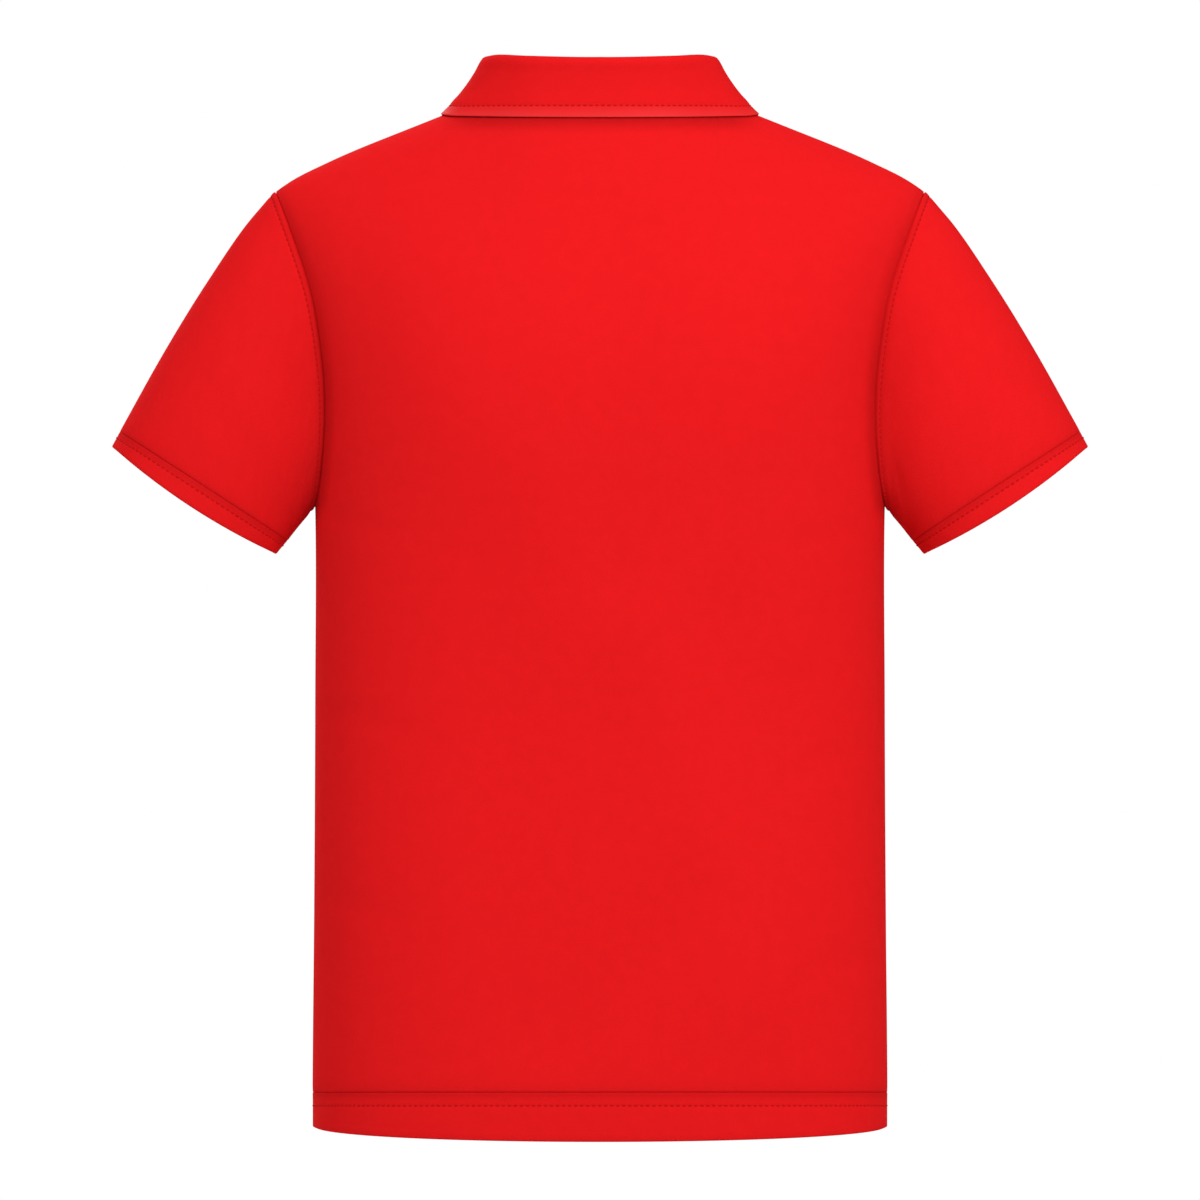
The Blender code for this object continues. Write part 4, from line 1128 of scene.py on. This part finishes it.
rows = panels["front"][opening_row:, centre - OPENING_PARTS : centre + OPENING_PARTS + 1]
under_strip = make_cloth("placket_under_strip", rows, CLOTH)
dress(under_strip, "placket_under")


def before_front(x, z, lift):
    """Points this far off the front, and the directions that the front faces there."""
    deeper = body_depth(x, z + SLOPE_STEP, "front") - body_depth(x, z - SLOPE_STEP, "front")
    facing = unit(np.stack([0 * deeper, np.full(deeper.shape, -2 * SLOPE_STEP), -deeper], axis=-1))
    return body_points(x, z, "front") + facing * lift, facing


half_width = PLACKET_HALF_WIDTH + PLACKET_OVERLAP
low = form["front"][opening_row, centre, 2] - PLACKET_END
across = np.linspace(NEAR_STRIP_EDGE[-1], half_width, PLACKET_COLUMNS)[1:]
across = np.concatenate([[0.0], NEAR_STRIP_EDGE, across])
across = np.concatenate([across - half_width, (half_width - across)[-2::-1]])
top = neck_height(across, "front") - TOP_CLEARANCE
shares = np.linspace(NEAR_FOOT_END, 1, PLACKET_PARTS)[1:]
shares = np.concatenate([[0.0], np.array(NEAR_STRIP_EDGE) / NEAR_FOOT_SCALE, shares])
heights = low + (top[None, :] - low) * shares[:, None]
rows, _ = before_front(np.broadcast_to(across, heights.shape), heights, PLACKET_LIFT)
from_low, _, from_right, from_left = edge_distances(rows)
near = np.minimum(np.minimum(from_right, from_left), from_low)
lift = easing(near, *STRIP_EASING) + bump_at(near - PLACKET_STITCH, *STRIP_GROOVE)
lift += bump_at(from_low - PLACKET_BOX, *BOX_GROOVE) * (near > STRIP_EASING[1])
for height in BUTTON_HEIGHTS:
    hole = np.hypot(rows[..., 0] / SLOT_HALF_WIDTH, (rows[..., 2] - height) / SLOT_HALF_LENGTH)
    lift -= SLOT_DEPTH * np.exp(-(hole**4))
rows = rows + outward(rows) * lift[..., None]
top_strip = make_cloth("placket_top_strip", rows, CLOTH, folded=("first_row", "first_column", "last_column"))
dress(top_strip, "placket_top")

side_x = half_width - PLACKET_STITCH
high = float(neck_height(side_x, "front")) - STITCH_START
foot = low + PLACKET_STITCH
foot_x = np.linspace(-side_x, side_x, FOOT_POINTS)[1:-1]
side_z = np.linspace(high, foot, SIDE_POINTS)
outline_x = np.concatenate([np.full(SIDE_POINTS, -side_x), foot_x, np.full(SIDE_POINTS, side_x)])
outline_z = np.concatenate([side_z, np.full(foot_x.shape, foot), np.linspace(foot, high, SIDE_POINTS)])
bar_x = np.linspace(-side_x + STITCH_START, side_x - STITCH_START, FOOT_POINTS)
outline = before_front(outline_x, outline_z, PLACKET_LIFT + OUTLINE_SINK)
bar = before_front(bar_x, np.full(bar_x.shape, low + PLACKET_BOX), PLACKET_LIFT + BAR_SINK)
placket_stitches = sew("placket_stitches", [outline, bar])
hole_lines = []
for height in BUTTON_HEIGHTS:
    turn = np.linspace(0, 2 * math.pi, 49)
    straight = BUTTONHOLE_LENGTH / 2 - BUTTONHOLE_HALF_WIDTH
    hole_x = BUTTONHOLE_HALF_WIDTH * np.cos(turn)
    hole_z = height + BUTTONHOLE_HALF_WIDTH * np.sin(turn) + straight * np.sign(np.sin(turn))
    hole_lines.append(before_front(hole_x, hole_z, PLACKET_LIFT + HOLE_SINK))
buttonholes = sew(
    "buttonhole_stitches", hole_lines, pitch=0.00048, stitch_length=0.0015, thread_width=0.00050,
    thread_height=0.00055, turn=math.pi / 2, unevenness=0.2,
)


# ---------------------------------------------------------------------------------------------------------
# Buttons: three 11.5 mm polyester buttons dyed to match, turned with a dished middle and a rounded rim, and
# sewn through four holes with a crossed thread.

BUTTON_RADIUS, BUTTON_THICKNESS, BUTTON_RIM = 0.00575, 0.0026, 0.0011
BUTTON_DISH, BUTTON_EDGE = 0.0019, 0.0009
BUTTON_HOLE_RADIUS, BUTTON_HOLE_OFFSET = 0.0008, 0.0014
BUTTON_LIFT = PLACKET_LIFT + 0.0005
BUTTON_PROFILE = (  # distance in from the edge as a share of the rim's width, height
    (1.9, BUTTON_DISH + 0.0001),
    (1.5, BUTTON_THICKNESS - 0.0001),
    (1.1, BUTTON_THICKNESS),
    (0.6, BUTTON_THICKNESS - 0.00005),
    (0.2, BUTTON_THICKNESS - 0.0004),
    (0.0, BUTTON_DISH - 0.0001),
    (0.0, BUTTON_EDGE),
    (0.4, 0.0003),
    (1.0, 0.0),
)
FLAT_RADIUS = BUTTON_RADIUS - 2.4 * BUTTON_RIM
STRAND_RADIUS, STRAND_OFFSET, STRAND_PARTS = 0.00036, 0.00022, 8
STRAND_HEIGHT, STRAND_DROP, UPPER_STRAND_LIFT = BUTTON_DISH + 0.0005, 0.0016, 0.0003


def button_plastic(name, red, deep_red):
    """Dyed polyester with a soft gloss and a faint cloud in the colour."""
    material, shader = new_material(name)
    place = node("ShaderNodeTexCoord", output=3)
    fine = noise(place, 3000.0)
    colour = mixed(noise(place, 260.0, 3.0), deep_red, red)
    looks = {"Base Color": colour, "Roughness": 0.26 + fine * 0.12, "Normal": bump(fine, 0.05, 0.0001)}
    Output.feed(shader, looks)
    return material


def turned_button(name):
    """A button turned from its profile and drilled, lying at the origin."""
    profile = [(0.0, 0.0, BUTTON_DISH), (FLAT_RADIUS, 0.0, BUTTON_DISH)]
    profile += [(BUTTON_RADIUS - share * BUTTON_RIM, 0.0, height) for share, height in BUTTON_PROFILE]
    profile.append((0.0, 0.0, 0.0))
    data = bpy.data.meshes.new(name)
    data.from_pydata(profile, [(k, k + 1) for k in range(len(profile) - 1)], [])
    button = add_object(name, data)
    turn = button.modifiers.new("turn", "SCREW")
    turn.angle, turn.use_merge_vertices, turn.merge_threshold = 2 * math.pi, True, 0.00001
    turn.steps = turn.render_steps = 48
    mesh = bmesh.new()
    radius = BUTTON_HOLE_RADIUS
    for across, up in ((1, 1), (-1, 1), (-1, -1), (1, -1)):
        made = bmesh.ops.create_cone(
            mesh, cap_ends=True, segments=16, radius1=radius, radius2=radius, depth=0.010
        )
        bmesh.ops.translate(mesh, verts=made["verts"], vec=Vector((across, up, 0)) * BUTTON_HOLE_OFFSET)
    holes = bpy.data.meshes.new("button_holes")
    mesh.to_mesh(holes)
    drill = add_object("button_holes", holes)
    bore = button.modifiers.new("holes", "BOOLEAN")
    bore.operation, bore.object = "DIFFERENCE", drill
    button.data = as_mesh(button)
    button.modifiers.clear()
    bpy.data.objects.remove(drill, do_unlink=True)
    mesh.clear()
    mesh.from_mesh(button.data)
    bmesh.ops.recalc_face_normals(mesh, faces=mesh.faces)
    mesh.to_mesh(button.data)
    mesh.free()
    button.data.shade_smooth()
    button.data.set_sharp_from_angle(angle=math.radians(40))
    return button


def crossed_thread(name):
    """Two pairs of strands between a button's holes, one pair over the other."""
    strands = bpy.data.curves.new(name, "CURVE")
    strands.dimensions = "3D"
    strands.bevel_depth, strands.bevel_resolution, strands.use_fill_caps = STRAND_RADIUS, 2, True
    for across, height in ((1, STRAND_HEIGHT + UPPER_STRAND_LIFT), (-1, STRAND_HEIGHT)):
        for aside in (STRAND_OFFSET, -STRAND_OFFSET):
            spline = strands.splines.new("POLY")
            spline.points.add(STRAND_PARTS)
            for k, point in enumerate(spline.points):
                t = -1 + 2 * k / STRAND_PARTS
                way = BUTTON_HOLE_OFFSET * t
                point.co = (way * across + aside, way - aside * across, height - STRAND_DROP * t**6, 1.0)
    curve = add_object(name, strands)
    data = as_mesh(curve)
    bpy.data.objects.remove(curve, do_unlink=True)
    data.shade_smooth()
    return add_object(name, data)


red_plastic = button_plastic("red_button", (0.62, 0.014, 0.017, 1.0), (0.48, 0.009, 0.011, 1.0))

for index, height in enumerate(BUTTON_HEIGHTS, start=1):
    place, toward = before_front(np.zeros(1), np.full(1, height), BUTTON_LIFT)
    stand_up = Vector(toward[0]).to_track_quat("Z", "Y").to_matrix().to_4x4()
    stand_up.translation = Vector(place[0])
    button = turned_button(f"button_{index}_turned")
    button.data.transform(stand_up)
    dress(button, f"button_{index}", red_plastic)
    thread = crossed_thread(f"button_{index}_thread")
    thread.data.transform(stand_up)
    thread.data.materials.clear()
    thread.data.materials.append(red_thread)
    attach(thread, "root")


# ---------------------------------------------------------------------------------------------------------
# The studio: a plain pale floor below the hem. The camera looks level at the back. A large soft light stands
# behind the shirt on the camera's right, a weaker one higher on its left and a third before the front. The
# light that comes from all round is grey and grows brighter overhead, but the camera sees it as white.

FLOOR_HEIGHT, FLOOR_HALF_WIDTH = -0.90, 4.0
AMBIENT, AMBIENT_OVERHEAD = 0.28, 0.74
VIEW_WIDTH, CAMERA_DISTANCE, CAMERA_HEIGHT = 0.84, 3.0, -0.350


def soft_light(name, place, target, size, power):
    """A round area light at a place, turned to a target."""
    lamp = bpy.data.lights.new(name, "AREA")
    lamp.shape, lamp.size, lamp.energy = "DISK", size, power
    made = add_object(name, lamp)
    made.location = place
    made.rotation_mode = "QUATERNION"
    made.rotation_quaternion = (Vector(target) - Vector(place)).to_track_quat("-Z", "Y")


floor_mesh = bpy.data.meshes.new("floor")
near, far = -FLOOR_HALF_WIDTH, FLOOR_HALF_WIDTH
corners = [(x, y, FLOOR_HEIGHT) for x, y in ((near, near), (far, near), (far, far), (near, far))]
floor_mesh.from_pydata(corners, [], [(0, 1, 2, 3)])
floor = add_object("floor", floor_mesh)
pale, shader = new_material("pale_floor")
Output.feed(shader, {"Base Color": (0.62, 0.62, 0.62, 1.0), "Roughness": 0.9})
floor_mesh.materials.append(pale)

soft_light("key_light", (-1.25, 2.2, 0.85), (0.0, 0.0, -0.42), 1.4, 44.5)
soft_light("high_light", (1.55, 1.45, 1.35), (0.0, 0.0, -0.15), 1.2, 15.5)
soft_light("front_light", (1.1, -2.2, 1.2), (0.0, 0.0, -0.33), 1.4, 36.0)

world = bpy.data.worlds.new("surroundings")
world.use_nodes = True
bpy.context.scene.world = world
Output.tree = world.node_tree
world.node_tree.nodes.clear()
white = {"Color": (1.0, 1.0, 1.0, 1.0)}
upward = node("ShaderNodeSeparateXYZ", {0: node("ShaderNodeTexCoord")}, 2)
seen = node("ShaderNodeBackground", {**white, "Strength": 1.0})
around = node("ShaderNodeBackground", {**white, "Strength": AMBIENT + upward.at_least_0() * AMBIENT_OVERHEAD})
both = node("ShaderNodeMixShader", {0: node("ShaderNodeLightPath"), 1: around, 2: seen})
world.node_tree.links.new(both.socket, world.node_tree.nodes.new("ShaderNodeOutputWorld").inputs["Surface"])

camera_data = bpy.data.cameras.new("camera")
camera_data.type = "ORTHO"
camera_data.ortho_scale = VIEW_WIDTH
camera = add_object("camera", camera_data)
camera.location = (0.0, CAMERA_DISTANCE, CAMERA_HEIGHT)
camera.rotation_euler = (math.pi / 2, 0.0, math.pi)
bpy.context.scene.camera = camera
bpy.context.scene.view_settings.view_transform = "Standard"
